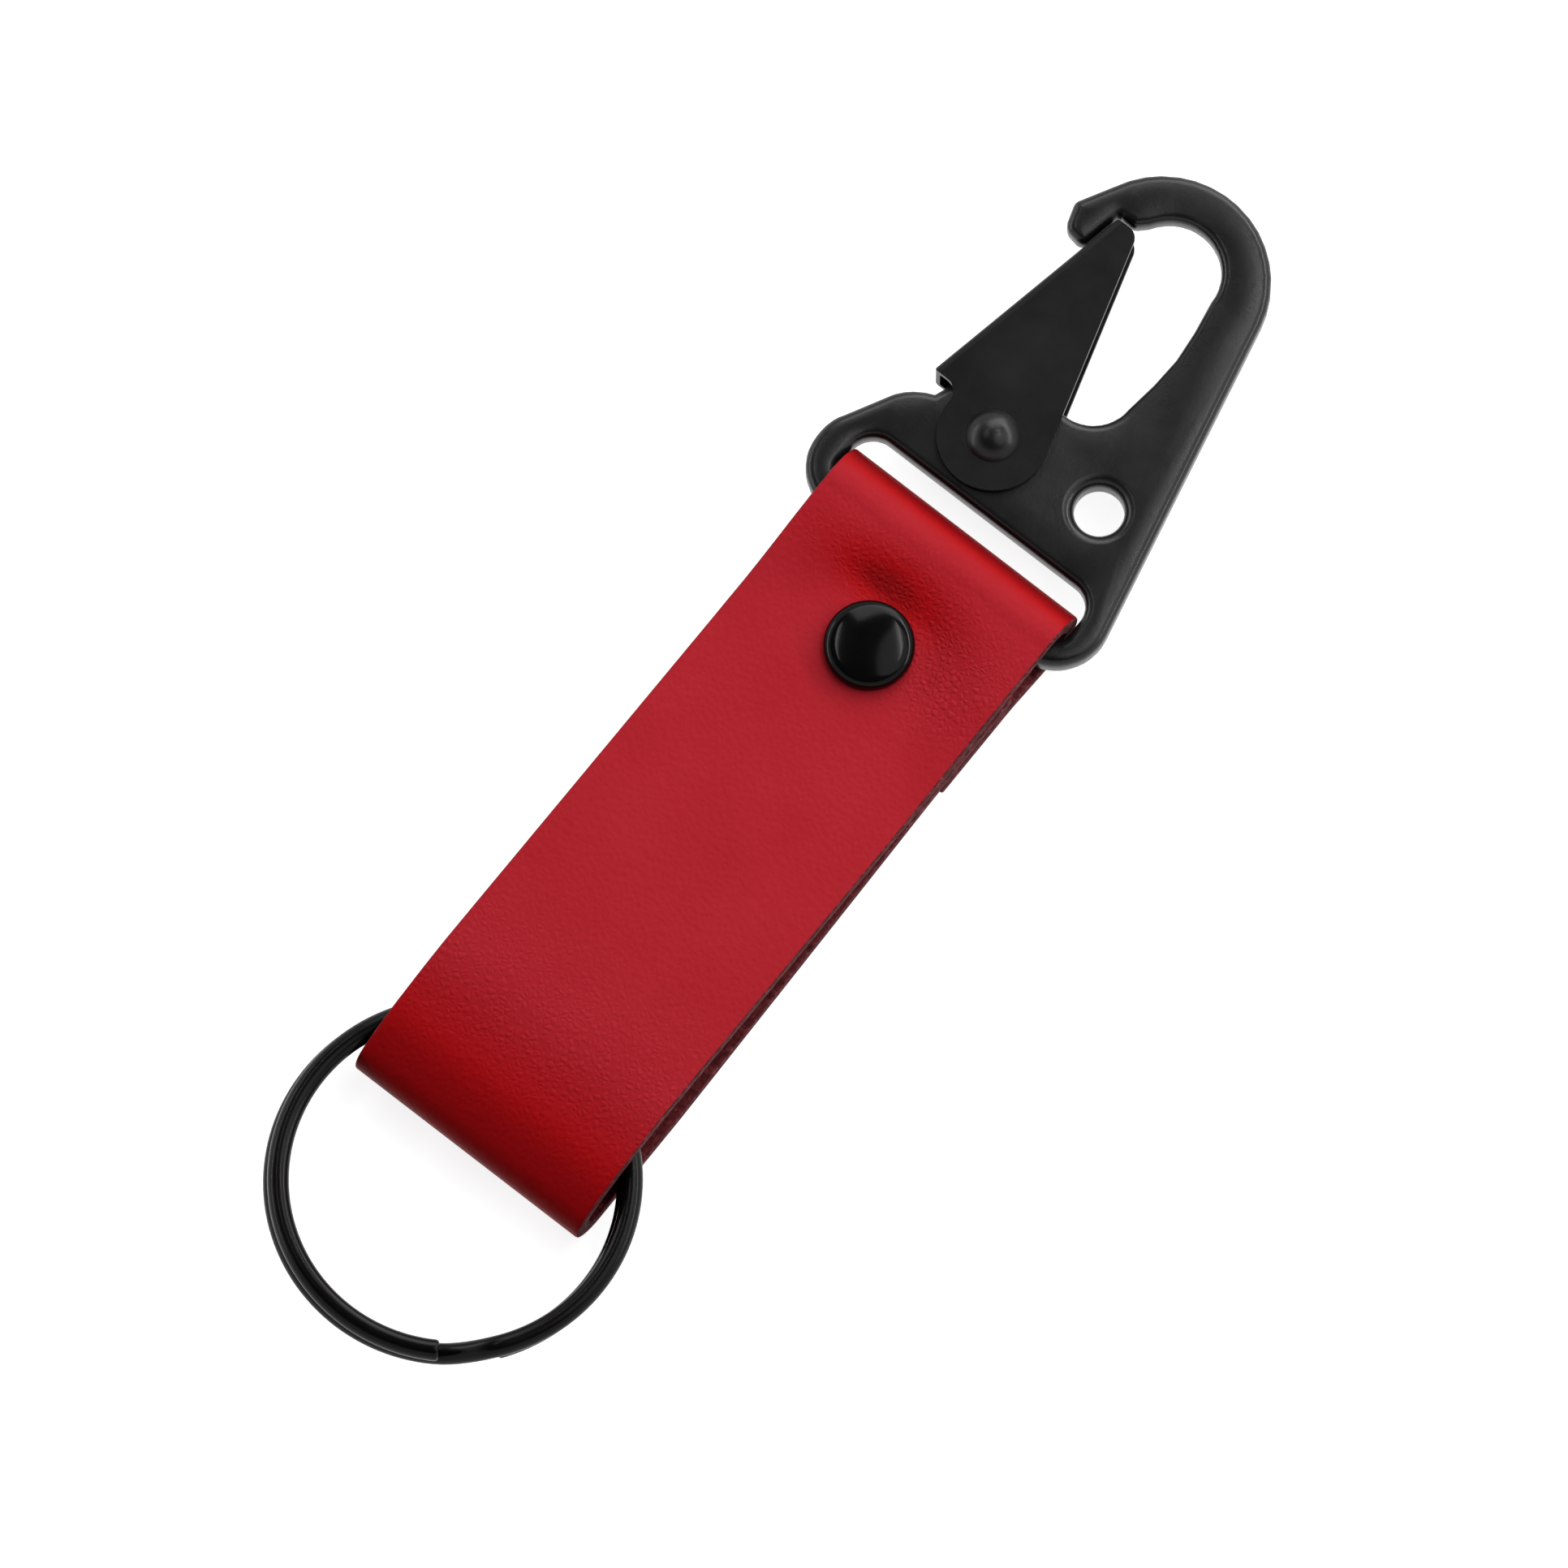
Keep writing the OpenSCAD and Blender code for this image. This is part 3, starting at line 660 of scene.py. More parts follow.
def arc(centre: tuple[float, float], radius: float, first_deg: float, last_deg: float,
        steps: int) -> list[tuple[float, float]]:
    """List the points of an arc of a turned profile.

    Args:
        centre: Distance from the axis and height.
        radius: The arc's radius.
        first_deg: The tilt from the axis at which it starts.
        last_deg: The tilt at which it ends.
        steps: How many chords it has.

    Returns:
        Distances from the axis with their heights.
    """
    tilts = (math.radians(first_deg + (last_deg - first_deg) * k / steps) for k in range(steps + 1))
    return [(centre[0] + radius * math.sin(t), centre[1] + radius * math.cos(t)) for t in tilts]


def turn_profile(name: str, centre: tuple[float, float], profile: list[tuple[float, float]],
                 sides: int = 96) -> bpy.types.Object:
    """Raise a turned shape ring by ring from a small disc on its axis to another.

    Args:
        name: The new piece's name.
        centre: X and Y of the axis in millimetres.
        profile: Distances from the axis with their heights, in millimetres.
        sides: How many sides each ring has.

    Returns:
        The closed piece.
    """
    settle()
    radius, height = profile[0]
    bpy.ops.mesh.primitive_circle_add(
        vertices=sides, radius=radius * MM, fill_type="NGON",
        location=(centre[0] * MM, centre[1] * MM, height * MM),
    )
    obj = bpy.context.object
    obj.name = name
    bpy.ops.object.transform_apply(location=True, rotation=True, scale=True)
    bpy.ops.object.mode_set(mode="EDIT")
    bpy.ops.mesh.select_all(action="SELECT")
    for (r0, z0), (r1, z1) in zip(profile, profile[1:]):
        bpy.ops.mesh.extrude_region_move(TRANSFORM_OT_translate={"value": (0.0, 0.0, (z1 - z0) * MM)})
        bpy.ops.transform.resize(
            value=(r1 / r0, r1 / r0, 1.0), center_override=(centre[0] * MM, centre[1] * MM, z1 * MM)
        )
    bpy.ops.mesh.select_all(action="SELECT")
    bpy.ops.mesh.normals_make_consistent(inside=False)
    bpy.ops.object.mode_set(mode="OBJECT")
    bpy.ops.object.shade_smooth_by_angle(angle=TURNED_CREASE)
    LOG.info("piece %s: %d faces", name, len(obj.data.polygons))
    return obj


def stand_in(obj: bpy.types.Object, node: str, material: bpy.types.Material, body: Body) -> None:
    """Dress a finished piece and let it ride and stand for its CAD node.

    Args:
        obj: The piece.
        node: The CAD node that it stands for.
        material: What it is made of.
        body: The body that it rides on.
    """
    dress(obj, material)
    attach(obj, body.value)
    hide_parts(node)


@dataclass(frozen=True)
class Patch:
    """A soft-edged mark on the strap's front. Its place and spread are in millimetres from the rivet."""

    centre: tuple[float, float]
    spread: tuple[float, float]
    weight: float = 1.0

    def strength(self, x: np.ndarray, y: np.ndarray) -> np.ndarray:
        """Say how strong the mark is at some places.

        Args:
            x: How far right of the rivet each place is.
            y: How far above the rivet each is.

        Returns:
            The mark's weight at its centre, fading to nothing away from it.
        """
        across = (x - self.centre[0]) / self.spread[0]
        along = (y - self.centre[1]) / self.spread[1]
        return self.weight * np.exp(-(across ** 2 + along ** 2))


@dataclass
class LeatherStrap:
    """The one strip of leather, folded over the hook's bar and round the ring. Sizes are in millimetres."""

    width: float = 25.0
    thickness: float = 1.8
    # The mesh: its cells, the steps of a tight bend, and how much longer than a cell such a step may be
    cell: float = 0.5
    bend_step_deg: float = 7.0
    step_share: float = 1.5
    least_straight: float = 0.05
    # An edge that runs along a straight is at least this share of it
    long_share: float = 0.9
    edge_round: float = 0.22
    rivet: tuple[float, float] = (-0.9, 12.1564)
    punch_radius: float = 1.66
    punch_sides: int = 40
    punch_length: float = 8.0
    punch_height: float = 4.9
    # The front layer's middle: the least height that counts as front, and how low on the strap it is eased
    front_least: float = 6.2
    eased_down_to: float = -20.0
    # How high it is at the rivet, then where its bow starts, over what length it rises, and to what height
    clamped: float = 6.6
    bow: tuple[float, float, float] = (6.3, 39.2, 8.15)
    # Where its slope starts, with its height there, and where it ends: left, left of the rivet and right
    slope_top: tuple[float, float] = (9.2, 7.71)
    slope_foot: tuple[float, float, float] = (-4.0, 3.5, -12.0)
    foot_places: tuple[float, float] = (-1.5, 2.5)
    # Right of the rivet the slope ends at this share of its end on the left
    foot_share: float = 0.4
    # How far out from the rivet the cap holds the hide down, and over what length it lets go
    cap_grip: tuple[float, float] = (4.3, 6.0)
    # Creases, in relief and with painted shade in their grooves: right of the rivet, in the dent above it
    # and in the bottom fold
    creases: tuple[Patch, ...] = (
        Patch((8.0, 1.0), (5.0, 4.5)), Patch((-1.0, 6.0), (10.0, 3.2), 0.85),
        Patch((0.0, -45.0), (math.inf, 8.0), 0.6),
    )
    # Painted shade: in the dent above the rivet and over the top fold
    shade_patches: tuple[Patch, ...] = (
        Patch((-2.0, 5.4), (6.5, 2.6), 0.78), Patch((0.0, 13.6), (math.inf, 1.7), 0.92),
    )
    # Painted shade towards the bottom fold, where the front curves away from the light: where it starts
    # below the rivet, over what length, and how far
    low_fold_shade: tuple[float, float, float] = (43.0, 12.0, 0.62)
    # Only what is higher than this is creased or gets painted shade
    crease_least: float = 4.7
    shade_least: float = 4.0
    # Steps along the middle line when the strip's map is laid, and vertices that are looked up at once
    walk: float = 0.1
    batch: int = 4000
    # A face this share of the thickness outside the middle is skin, if it leans to the side less than this
    skin_share: float = 0.42
    side_lean: float = 0.5
    # The layers at the rivet: how high the lowest one's middle is, and the gap between two
    lowest: float = 2.8
    layer_gap: float = 0.1
    # From the rivet to the outsides of the top and the bottom fold, to the tail's end and to the lap's end
    to_top_fold: float = 13.95
    to_low_fold: float = 57.15
    tail: float = 5.4
    lap: float = 4.6
    # The hook's bar in the top fold: half its width and height, its rounding and the room round it
    bar_half: float = 1.5
    bar_round: float = 0.8
    bar_play: float = 0.4
    # How far the top fold's two corners lie below and above its middle
    top_rise: float = 3.89
    # Radii of the bends beside the rivet and of those where the layers draw together
    bend_radius: float = 5.0
    drape_radius: float = 30.0
    # Y, height and bend radius of the two corners where the front layer turns down to the ring
    brow: tuple[tuple[float, float, float], ...] = ((-33.34, 8.15, 25.0), (-40.34, 6.95, 15.0))
    # Height and bend radius of the bottom fold's upper corner, and the bend radius of its lower one
    low_corner: tuple[float, float] = (4.98, 2.2)
    low_radius: float = 2.4
    # How far below the rivet the back layer rises off the floor
    to_rise: float = 42.5228
    obj: bpy.types.Object | None = field(default=None, init=False)
    line: list[Vector] = field(default_factory=list, init=False)

    def corners(self) -> list[tuple[float, float, float]]:
        """List the corners of the middle line, from the tail's end round both folds to the lap's end.

        Returns:
            Y, height and bend radius of each, in millimetres.
        """
        half, at = self.thickness / 2, self.rivet[1]
        tail, back, front = (self.lowest + (self.thickness + self.layer_gap) * k for k in range(3))
        top, low = at + self.to_top_fold - half, at - self.to_low_fold + half
        above, below = at + self.lap - self.layer_gap, at - self.tail - half
        flat = self.bar_half - self.bar_round
        fold = math.hypot(flat, flat) + self.bar_round + self.bar_play + half
        return [
            (at - self.tail, tail, 0.0), (above, tail, self.bend_radius),
            (top, back - self.top_rise, fold), (top, back + self.top_rise, fold),
            (above, front, self.bend_radius), (below, front, self.drape_radius),
            *self.brow, (low, *self.low_corner), (low, half, self.low_radius),
            (at - self.to_rise, half, self.drape_radius), (below, back, self.bend_radius),
            (at + self.lap, back, 0.0),
        ]

    def parts(self) -> list[tuple]:
        """Split the strap's middle line into straights and bends.

        Returns:
            ("straight", start, end) or ("bend", start, end, centre, angle), with Vectors of Y and Z in
            millimetres.
        """
        corners = self.corners()
        out, at = [], Vector(corners[0][:2])
        for before, corner, after in zip(corners, corners[1:], corners[2:]):
            tip, radius = Vector(corner[:2]), corner[2]
            come = (tip - Vector(before[:2])).normalized()
            go = (Vector(after[:2]) - tip).normalized()
            turn = math.atan2(come.x * go.y - come.y * go.x, come.dot(go))
            reach = radius * math.tan(abs(turn) / 2)
            start, end = tip - come * reach, tip + go * reach
            if (start - at).length > self.least_straight:
                out.append(("straight", at.copy(), start))
            side = Vector((-come.y, come.x)) * (1 if turn > 0 else -1)
            out.append(("bend", start, end, start + side * radius, turn))
            at = end
        out.append(("straight", at.copy(), Vector(corners[-1][:2])))
        return out

    def build(self) -> None:
        """Fold a flat grid of leather into the strap's middle sheet."""
        parts = self.parts()
        _, start, end = parts[0]
        self.line = [start, end]
        rows = round((end - start).length / self.cell)
        columns = round(self.width / self.cell)
        settle()
        bpy.ops.mesh.primitive_grid_add(
            x_subdivisions=columns, y_subdivisions=rows, size=1.0,
            location=(self.rivet[0] * MM, (start.x + end.x) / 2 * MM, start.y * MM),
        )
        self.obj = bpy.context.object
        self.obj.name = "leather_strap_hide"
        self.obj.scale = (self.width * MM, (end - start).length * MM, 1.0)
        bpy.ops.object.transform_apply(location=True, rotation=True, scale=True)
        bpy.ops.object.mode_set(mode="EDIT")
        for part in parts[1:]:
            self.choose_row(part[1])
            if part[0] == "straight":
                self.run_on(part[1], part[2])
            else:
                self.bend(*part[1:])
        bpy.ops.mesh.select_all(action="SELECT")
        bpy.ops.mesh.remove_doubles(threshold=TOUCH)
        bpy.ops.object.mode_set(mode="OBJECT")
        LOG.info("strap sheet: %d faces", len(self.obj.data.polygons))

    def choose_row(self, at: Vector) -> None:
        """Select the row of vertices across the strap at a point of its middle line.

        Args:
            at: Y and Z in millimetres.
        """
        found = choose_verts(lambda co: self.is_at(co, at))
        if found != round(self.width / self.cell) + 1:
            raise ValueError(f"the strap has {found} points in its row at {at}")
        bpy.ops.mesh.select_mode(type="EDGE")

    def run_on(self, start: Vector, end: Vector) -> None:
        """Extrude the selected row along a straight and cut it into cells.

        Args:
            start: Y and Z in millimetres where the straight starts.
            end: The same where it ends.
        """
        step = (end - start) * MM
        bpy.ops.mesh.extrude_region_move(TRANSFORM_OT_translate={"value": (0.0, step.x, step.y)})
        cuts = max(1, round((end - start).length / self.cell)) - 1
        if cuts:
            least = (end - start).length * MM * self.long_share
            choose_edges(
                lambda a, b: abs(a.x - b.x) < TOUCH and (a - b).length > least
                and self.is_at(a, start, end) and self.is_at(b, start, end)
            )
            bpy.ops.mesh.subdivide(number_cuts=cuts)
        self.line.append(end)

    @staticmethod
    def is_at(co: Vector, *points: Vector) -> bool:
        """Say whether a vertex in metres is at one of some points of Y and Z in millimetres."""
        return any(abs(co.y - p.x * MM) < REACH and abs(co.z - p.y * MM) < REACH for p in points)

    def bend(self, start: Vector, end: Vector, centre: Vector, turn: float) -> None:
        """Spin the selected row round a bend.

        Args:
            start: Y and Z in millimetres where the bend starts.
            end: The same where it ends.
            centre: The same of its centre.
            turn: Its angle in radians, positive for a left turn.
        """
        steps = max(2, math.ceil(abs(math.degrees(turn)) / self.bend_step_deg))
        if (start - centre).length * abs(turn) / steps > self.cell * self.step_share:
            steps = math.ceil((start - centre).length * abs(turn) / self.cell)
        spin_selected(steps, turn, (0.0, centre.x * MM, centre.y * MM), (1.0, 0.0, 0.0))
        arm = start - centre
        for k in range(1, steps + 1):
            a = turn * k / steps
            self.line.append(centre + Vector((
                arm.x * math.cos(a) - arm.y * math.sin(a), arm.x * math.sin(a) + arm.y * math.cos(a)
            )))

    def finish(self, grain: bpy.types.Material, edge: bpy.types.Material,
               flesh: bpy.types.Material) -> None:
        """Give the sheet its thickness, cut edges, rivet hole, strip map and materials.

        Args:
            grain: The outer side's leather.
            edge: The cut edges' fibre.
            flesh: The inner side's fibre.
        """
        obj = self.obj
        self.relax()
        apply_modifier(obj, "SOLIDIFY", thickness=self.thickness * MM, offset=0.0, use_even_offset=True)
        pick(obj)
        bpy.ops.object.mode_set(mode="EDIT")
        bpy.ops.mesh.select_all(action="SELECT")
        bpy.ops.mesh.normals_make_consistent(inside=False)
        bpy.ops.object.mode_set(mode="OBJECT")
        apply_modifier(
            obj, "BEVEL", width=self.edge_round * MM, segments=2, limit_method="ANGLE",
            angle_limit=SHARP,
        )
        self.punch()
        self.map_strip(grain, edge, flesh)
        pick(obj)
        bpy.ops.object.shade_smooth_by_angle(angle=SWEPT_CREASE)
        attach(obj, Body.STRAP.value)
        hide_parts("leather_strap")
        LOG.info("piece %s: %d faces", obj.name, len(obj.data.polygons))

    def relax(self) -> None:
        """Let the front layer slope down more slowly where the rivet doesn't hold it, as a hide does."""
        co = np.empty(len(self.obj.data.vertices) * 3)
        self.obj.data.vertices.foreach_get("co", co)
        co = co.reshape(-1, 3)
        x, y = co[:, 0] / MM - self.rivet[0], co[:, 1] / MM - self.rivet[1]
        height = co[:, 2] / MM
        top_y, top_height = self.slope_top
        front = (height > self.front_least) & (y < top_y) & (y > self.eased_down_to)
        left, middle, right = self.slope_foot
        half = self.width / 2
        foot = np.interp(
            x, (-half, *self.foot_places, half), (left, middle, middle * self.foot_share, right)
        )
        share = np.clip((top_y - y) / (top_y - foot), 0, 1)
        bow_start, bow_length, bow_height = self.bow
        base = self.clamped + np.clip(-y - bow_start, 0, None) * (bow_height - self.clamped) / bow_length
        free = base + (top_height - self.clamped) * (1 - ease(share))
        near, spread = self.cap_grip
        loose = ease(np.clip((np.hypot(x, y) - near) / spread, 0, 1))
        lifted = height + loose * np.clip(free - height, 0, None)
        co[front, 2] = lifted[front] * MM
        self.obj.data.vertices.foreach_set("co", co.ravel())

    def punch(self) -> None:
        """Punch the rivet's hole through the three layers."""
        settle()
        bpy.ops.mesh.primitive_cylinder_add(
            vertices=self.punch_sides, radius=self.punch_radius * MM, depth=self.punch_length * MM,
            location=(self.rivet[0] * MM, self.rivet[1] * MM, self.punch_height * MM),
        )
        tool = bpy.context.object
        apply_modifier(self.obj, "BOOLEAN", object=tool, operation="DIFFERENCE", solver="EXACT")
        bpy.data.objects.remove(tool)

    def walked(self) -> tuple[np.ndarray, np.ndarray]:
        """Walk the middle line in small steps.

        Returns:
            Y and Z of the points on the way, and how far along the strip each is, in millimetres.
        """
        line = np.array([tuple(p) for p in self.line])
        steps = np.linalg.norm(np.diff(line, axis=0), axis=1)
        points, length, run = [], [], 0.0
        for a, b, d in zip(line, line[1:], steps):
            n = max(1, int(d / self.walk))
            for k in range(n):
                points.append(a + (b - a) * k / n)
                length.append(run + d * k / n)
            run += d
        return np.array(points + [line[-1]]), np.array(length + [run])

    def map_strip(self, grain: bpy.types.Material, edge: bpy.types.Material,
                  flesh: bpy.types.Material) -> None:
        """Lay the strip's own map and marks on the mesh and sort its faces by side.

        Args:
            grain: The outer side's leather.
            edge: The cut edges' fibre.
            flesh: The inner side's fibre.
        """
        mesh = self.obj.data
        mesh.materials.clear()
        for material in (grain, edge, flesh):
            mesh.materials.append(material)
        points, length = self.walked()
        ahead = np.gradient(points, axis=0)
        ahead /= np.linalg.norm(ahead, axis=1)[:, None]
        co = np.empty(len(mesh.vertices) * 3)
        mesh.vertices.foreach_get("co", co)
        co = co.reshape(-1, 3) / MM
        place = np.empty(len(co), int)
        for k in range(0, len(co), self.batch):
            some = co[k : k + self.batch, 1:]
            place[k : k + self.batch] = ((some[:, None, :] - points[None]) ** 2).sum(2).argmin(1)
        away = co[:, 1:] - points[place]
        # Right of the way the line runs is the outer side
        outward = away[:, 0] * ahead[place, 1] - away[:, 1] * ahead[place, 0]
        along = length[place] + (away * ahead[place]).sum(1)
        across = co[:, 0] - self.rivet[0]
        corner = np.empty(len(mesh.loops), np.int32)
        mesh.loops.foreach_get("vertex_index", corner)
        while mesh.uv_layers:
            mesh.uv_layers.remove(mesh.uv_layers[0])
        strip = mesh.uv_layers.new(name="strip")
        strip.data.foreach_set(
            "uv", np.stack([along[corner] * MM, across[corner] * MM], 1).astype(np.float32).ravel()
        )
        self.mark("crease", self.squeezed(co, outward))
        # Painted shade on the dent, the top fold and towards the bottom fold
        self.mark("burnish", self.shade_amounts(co, outward))
        self.sort_faces(outward)

    def sort_faces(self, outward: np.ndarray) -> None:
        """Give each face the material of its side.

        Args:
            outward: How far each vertex is outside the middle sheet, in millimetres.
        """
        mesh = self.obj.data
        side = np.full(len(mesh.polygons), Side.EDGE, np.int32)
        skin = self.thickness * self.skin_share
        for face in mesh.polygons:
            out = np.mean([outward[v] for v in face.vertices])
            if abs(face.normal.x) < self.side_lean and abs(out) > skin:
                side[face.index] = Side.GRAIN if out > 0 else Side.FLESH
        mesh.polygons.foreach_set("material_index", side)

    def mark(self, name: str, values: np.ndarray) -> None:
        """Write one number for each vertex, for the leather's material to read."""
        layer = self.obj.data.attributes.new(name, "FLOAT", "POINT")
        layer.data.foreach_set("value", values.astype(np.float32))

    def squeezed(self, co: np.ndarray, outward: np.ndarray) -> np.ndarray:
        """Say how far the hide is squeezed into fine creases, from 0 to 1.

        Args:
            co: The vertices in millimetres.
            outward: How far each is outside the middle sheet.

        Returns:
            One share for each vertex.
        """
        x, y = co[:, 0] - self.rivet[0], co[:, 1] - self.rivet[1]
        front = (co[:, 2] > self.crease_least) & (outward > 0)
        total = sum(patch.strength(x, y) for patch in self.creases)
        return np.where(front, np.clip(total, 0, 1), 0.0)

    def shade_amounts(self, co: np.ndarray, outward: np.ndarray) -> np.ndarray:
        """Say how much painted shade darkens the front, from 0 to 1.

        Args:
            co: The vertices in millimetres.
            outward: How far each is outside the middle sheet.

        Returns:
            One share for each vertex.
        """
        x, y = co[:, 0] - self.rivet[0], co[:, 1] - self.rivet[1]
        front = (co[:, 2] > self.shade_least) & (outward > 0)
        start, length, most = self.low_fold_shade
        low = most * ease(np.clip((-y - start) / length, 0, 1))
        return np.where(front, low + sum(patch.strength(x, y) for patch in self.shade_patches), 0.0)


@dataclass
class SplitRing:
    """Two turns of spring wire with one step between them. Sizes are in millimetres."""

    centre: tuple[float, float, float] = (0.0, -47.9165, 4.105)
    radius: float = 15.56
    wire: float = 1.93
    pitch: float = 2.36
    shift: float = 0.5
    step_deg: float = -46.75
    step_span_deg: float = 20.0
    sides: int = 20
    facet_deg: float = 2.5
    end_round: float = 0.3
    # How far round from the step's end a vertex is still found
    reach_deg: float = 0.2
    obj: bpy.types.Object | None = field(default=None, init=False)

    def build(self, material: bpy.types.Material) -> None:
        """Sweep the wire: the step, then the upper turn on from it and the lower turn back from it.

        Args:
            material: What the wire is finished with.
        """
        first = self.step_deg - self.step_span_deg / 2
        settle()
        bpy.ops.mesh.primitive_circle_add(
            vertices=self.sides, radius=self.wire / 2 * MM, fill_type="NOTHING",
            location=self.point(first, -0.5),
            rotation=(math.radians(90.0), 0.0, math.radians(first)),
        )
        self.obj = bpy.context.object
        self.obj.name = "split_ring_wire"
        bpy.ops.object.transform_apply(location=True, rotation=True, scale=True)
        bpy.ops.object.mode_set(mode="EDIT")
        bpy.ops.mesh.select_all(action="SELECT")
        self.sweep(self.step_span_deg, -0.5)
        self.climb()
        self.choose_end(lambda z: z > 0)
        self.sweep(360.0 - self.step_span_deg, 0.5)
        self.choose_end(lambda z: z < 0)
        self.sweep(self.step_span_deg - 360.0, -0.5)
        bpy.ops.mesh.select_all(action="SELECT")
        bpy.ops.mesh.remove_doubles(threshold=TOUCH)
        bpy.ops.mesh.fill_holes(sides=self.sides + 1)
        bpy.ops.mesh.select_all(action="SELECT")
        bpy.ops.mesh.normals_make_consistent(inside=False)
        bpy.ops.object.mode_set(mode="OBJECT")
        apply_modifier(
            self.obj, "BEVEL", width=self.end_round * MM, segments=3, limit_method="ANGLE",
            angle_limit=SHARP,
        )
        pick(self.obj)
        bpy.ops.object.shade_smooth_by_angle(angle=SWEPT_CREASE)
        stand_in(self.obj, "split_ring", material, Body.RING)
        LOG.info("piece %s: %d faces", self.obj.name, len(self.obj.data.polygons))

    def point(self, angle_deg: float, level: float) -> tuple[float, float, float]:
        """Say where the wire's middle is.

        Args:
            angle_deg: The direction from the ring's centre.
            level: -0.5 on the lower turn and 0.5 on the upper one.

        Returns:
            The point in metres.
        """
        a = math.radians(angle_deg)
        return (
            (self.centre[0] + self.shift * level + self.radius * math.cos(a)) * MM,
            (self.centre[1] + self.radius * math.sin(a)) * MM,
            (self.centre[2] + self.pitch * level) * MM,
        )

    def sweep(self, angle_deg: float, level: float) -> None:
        """Spin the selected wire end round the ring's axis at one level.

        Args:
            angle_deg: How far, positive for anticlockwise.
            level: -0.5 on the lower turn and 0.5 on the upper one.
        """
        spin_selected(
            round(abs(angle_deg) / self.facet_deg), math.radians(angle_deg),
            ((self.centre[0] + self.shift * level) * MM, self.centre[1] * MM, 0.0), (0.0, 0.0, 1.0),
        )

    def climb(self) -> None:
        """Lift the step's wire from the lower turn to the upper one."""
        mesh = bpy.context.edit_object.data
        shell = bmesh.from_edit_mesh(mesh)
        low_x = self.centre[0] - self.shift / 2
        for vert in shell.verts:
            angle = math.degrees(math.atan2(vert.co.y / MM - self.centre[1], vert.co.x / MM - low_x))
            share = (angle - self.step_deg) / self.step_span_deg + 0.5
            rise = ease(min(1.0, max(0.0, share)))
            vert.co.z += self.pitch * rise * MM
            vert.co.x += self.shift * rise * MM
        bmesh.update_edit_mesh(mesh)

    def choose_end(self, side: Callable[[float], bool]) -> None:
        """Select the step's upper or lower end loop.

        Args:
            side: Takes a height above the ring's middle and says whether it is on the wanted turn.
        """
        last = self.step_deg + self.step_span_deg / 2
        first = self.step_deg - self.step_span_deg / 2

        def at_end(co: Vector) -> bool:
            """Say whether a vertex lies at the wanted end.

            Args:
                co: The vertex's place in metres.

            Returns:
                True for a vertex of the wanted end loop.
            """
            high = co.z / MM - self.centre[2]
            middle = self.centre[0] + (self.shift / 2 if high > 0 else -self.shift / 2)
            angle = math.degrees(math.atan2(co.y / MM - self.centre[1], co.x / MM - middle))
            return side(high) and abs(angle - (last if high > 0 else first)) < self.reach_deg

        found = choose_verts(at_end)
        if found != self.sides:
            raise ValueError(f"the ring's step has {found} points at its end")
        bpy.ops.mesh.select_mode(type="EDGE")


@dataclass
class SnapHook:
    """The cast hook with its sheet gate, pivot rivet and hidden spring. Sizes are in millimetres."""

    pivot: tuple[float, float] = (-4.35, 34.12)
    head_radius: float = 2.4
    shaft_radius: float = 1.3
    # Heights of the rear dome's end, of the two heads' inner faces, and of the front dome's end
    levels: tuple[float, float, float, float] = (1.4, 2.3, 7.1, 8.4)
    # Radius of the disc that closes a dome on its axis
    axis_disc: float = 0.03
    dome_chords: int = 16
    sides: int = 72

    def build(self, steel: bpy.types.Material) -> None:
        """Dress the hook's pieces.

        Args:
            steel: What the hidden spring is made of.
        """
        smooth_twin("hook_frame", "hook_casting", HOOK_PAINT.material(), Body.HOOK)
        smooth_twin("hook_gate", "gate_sheet", GATE_PAINT.material(), Body.GATE)
        smooth_twin("gate_spring", "gate_spring_wire", steel, Body.GATE, crease_deg=60.0)
        tail, rear, front, crown = self.levels
        profile = self.dome(crown, crown - front)
        profile += [(self.shaft_radius, front), (self.shaft_radius, rear)]
        profile += [(r, rear + tail - z) for r, z in reversed(self.dome(rear, rear - tail))]
        rivet = turn_profile("gate_rivet", self.pivot, profile, self.sides)
        stand_in(rivet, "gate_pivot", PIVOT_LACQUER.material(), Body.HOOK)

    def dome(self, top: float, height: float) -> list[tuple[float, float]]:
        """List the points of a domed head from its crown down to its rim.

        Args:
            top: The crown's height.
            height: How far the rim is below it.

        Returns:
            Distances from the axis with their heights.
        """
        radius = (self.head_radius ** 2 + height ** 2) / (2 * height)
        rim = math.degrees(math.asin(self.head_radius / radius))
        start = math.degrees(math.asin(self.axis_disc / radius))
        return arc((0.0, top - radius), radius, start, rim, self.dome_chords)


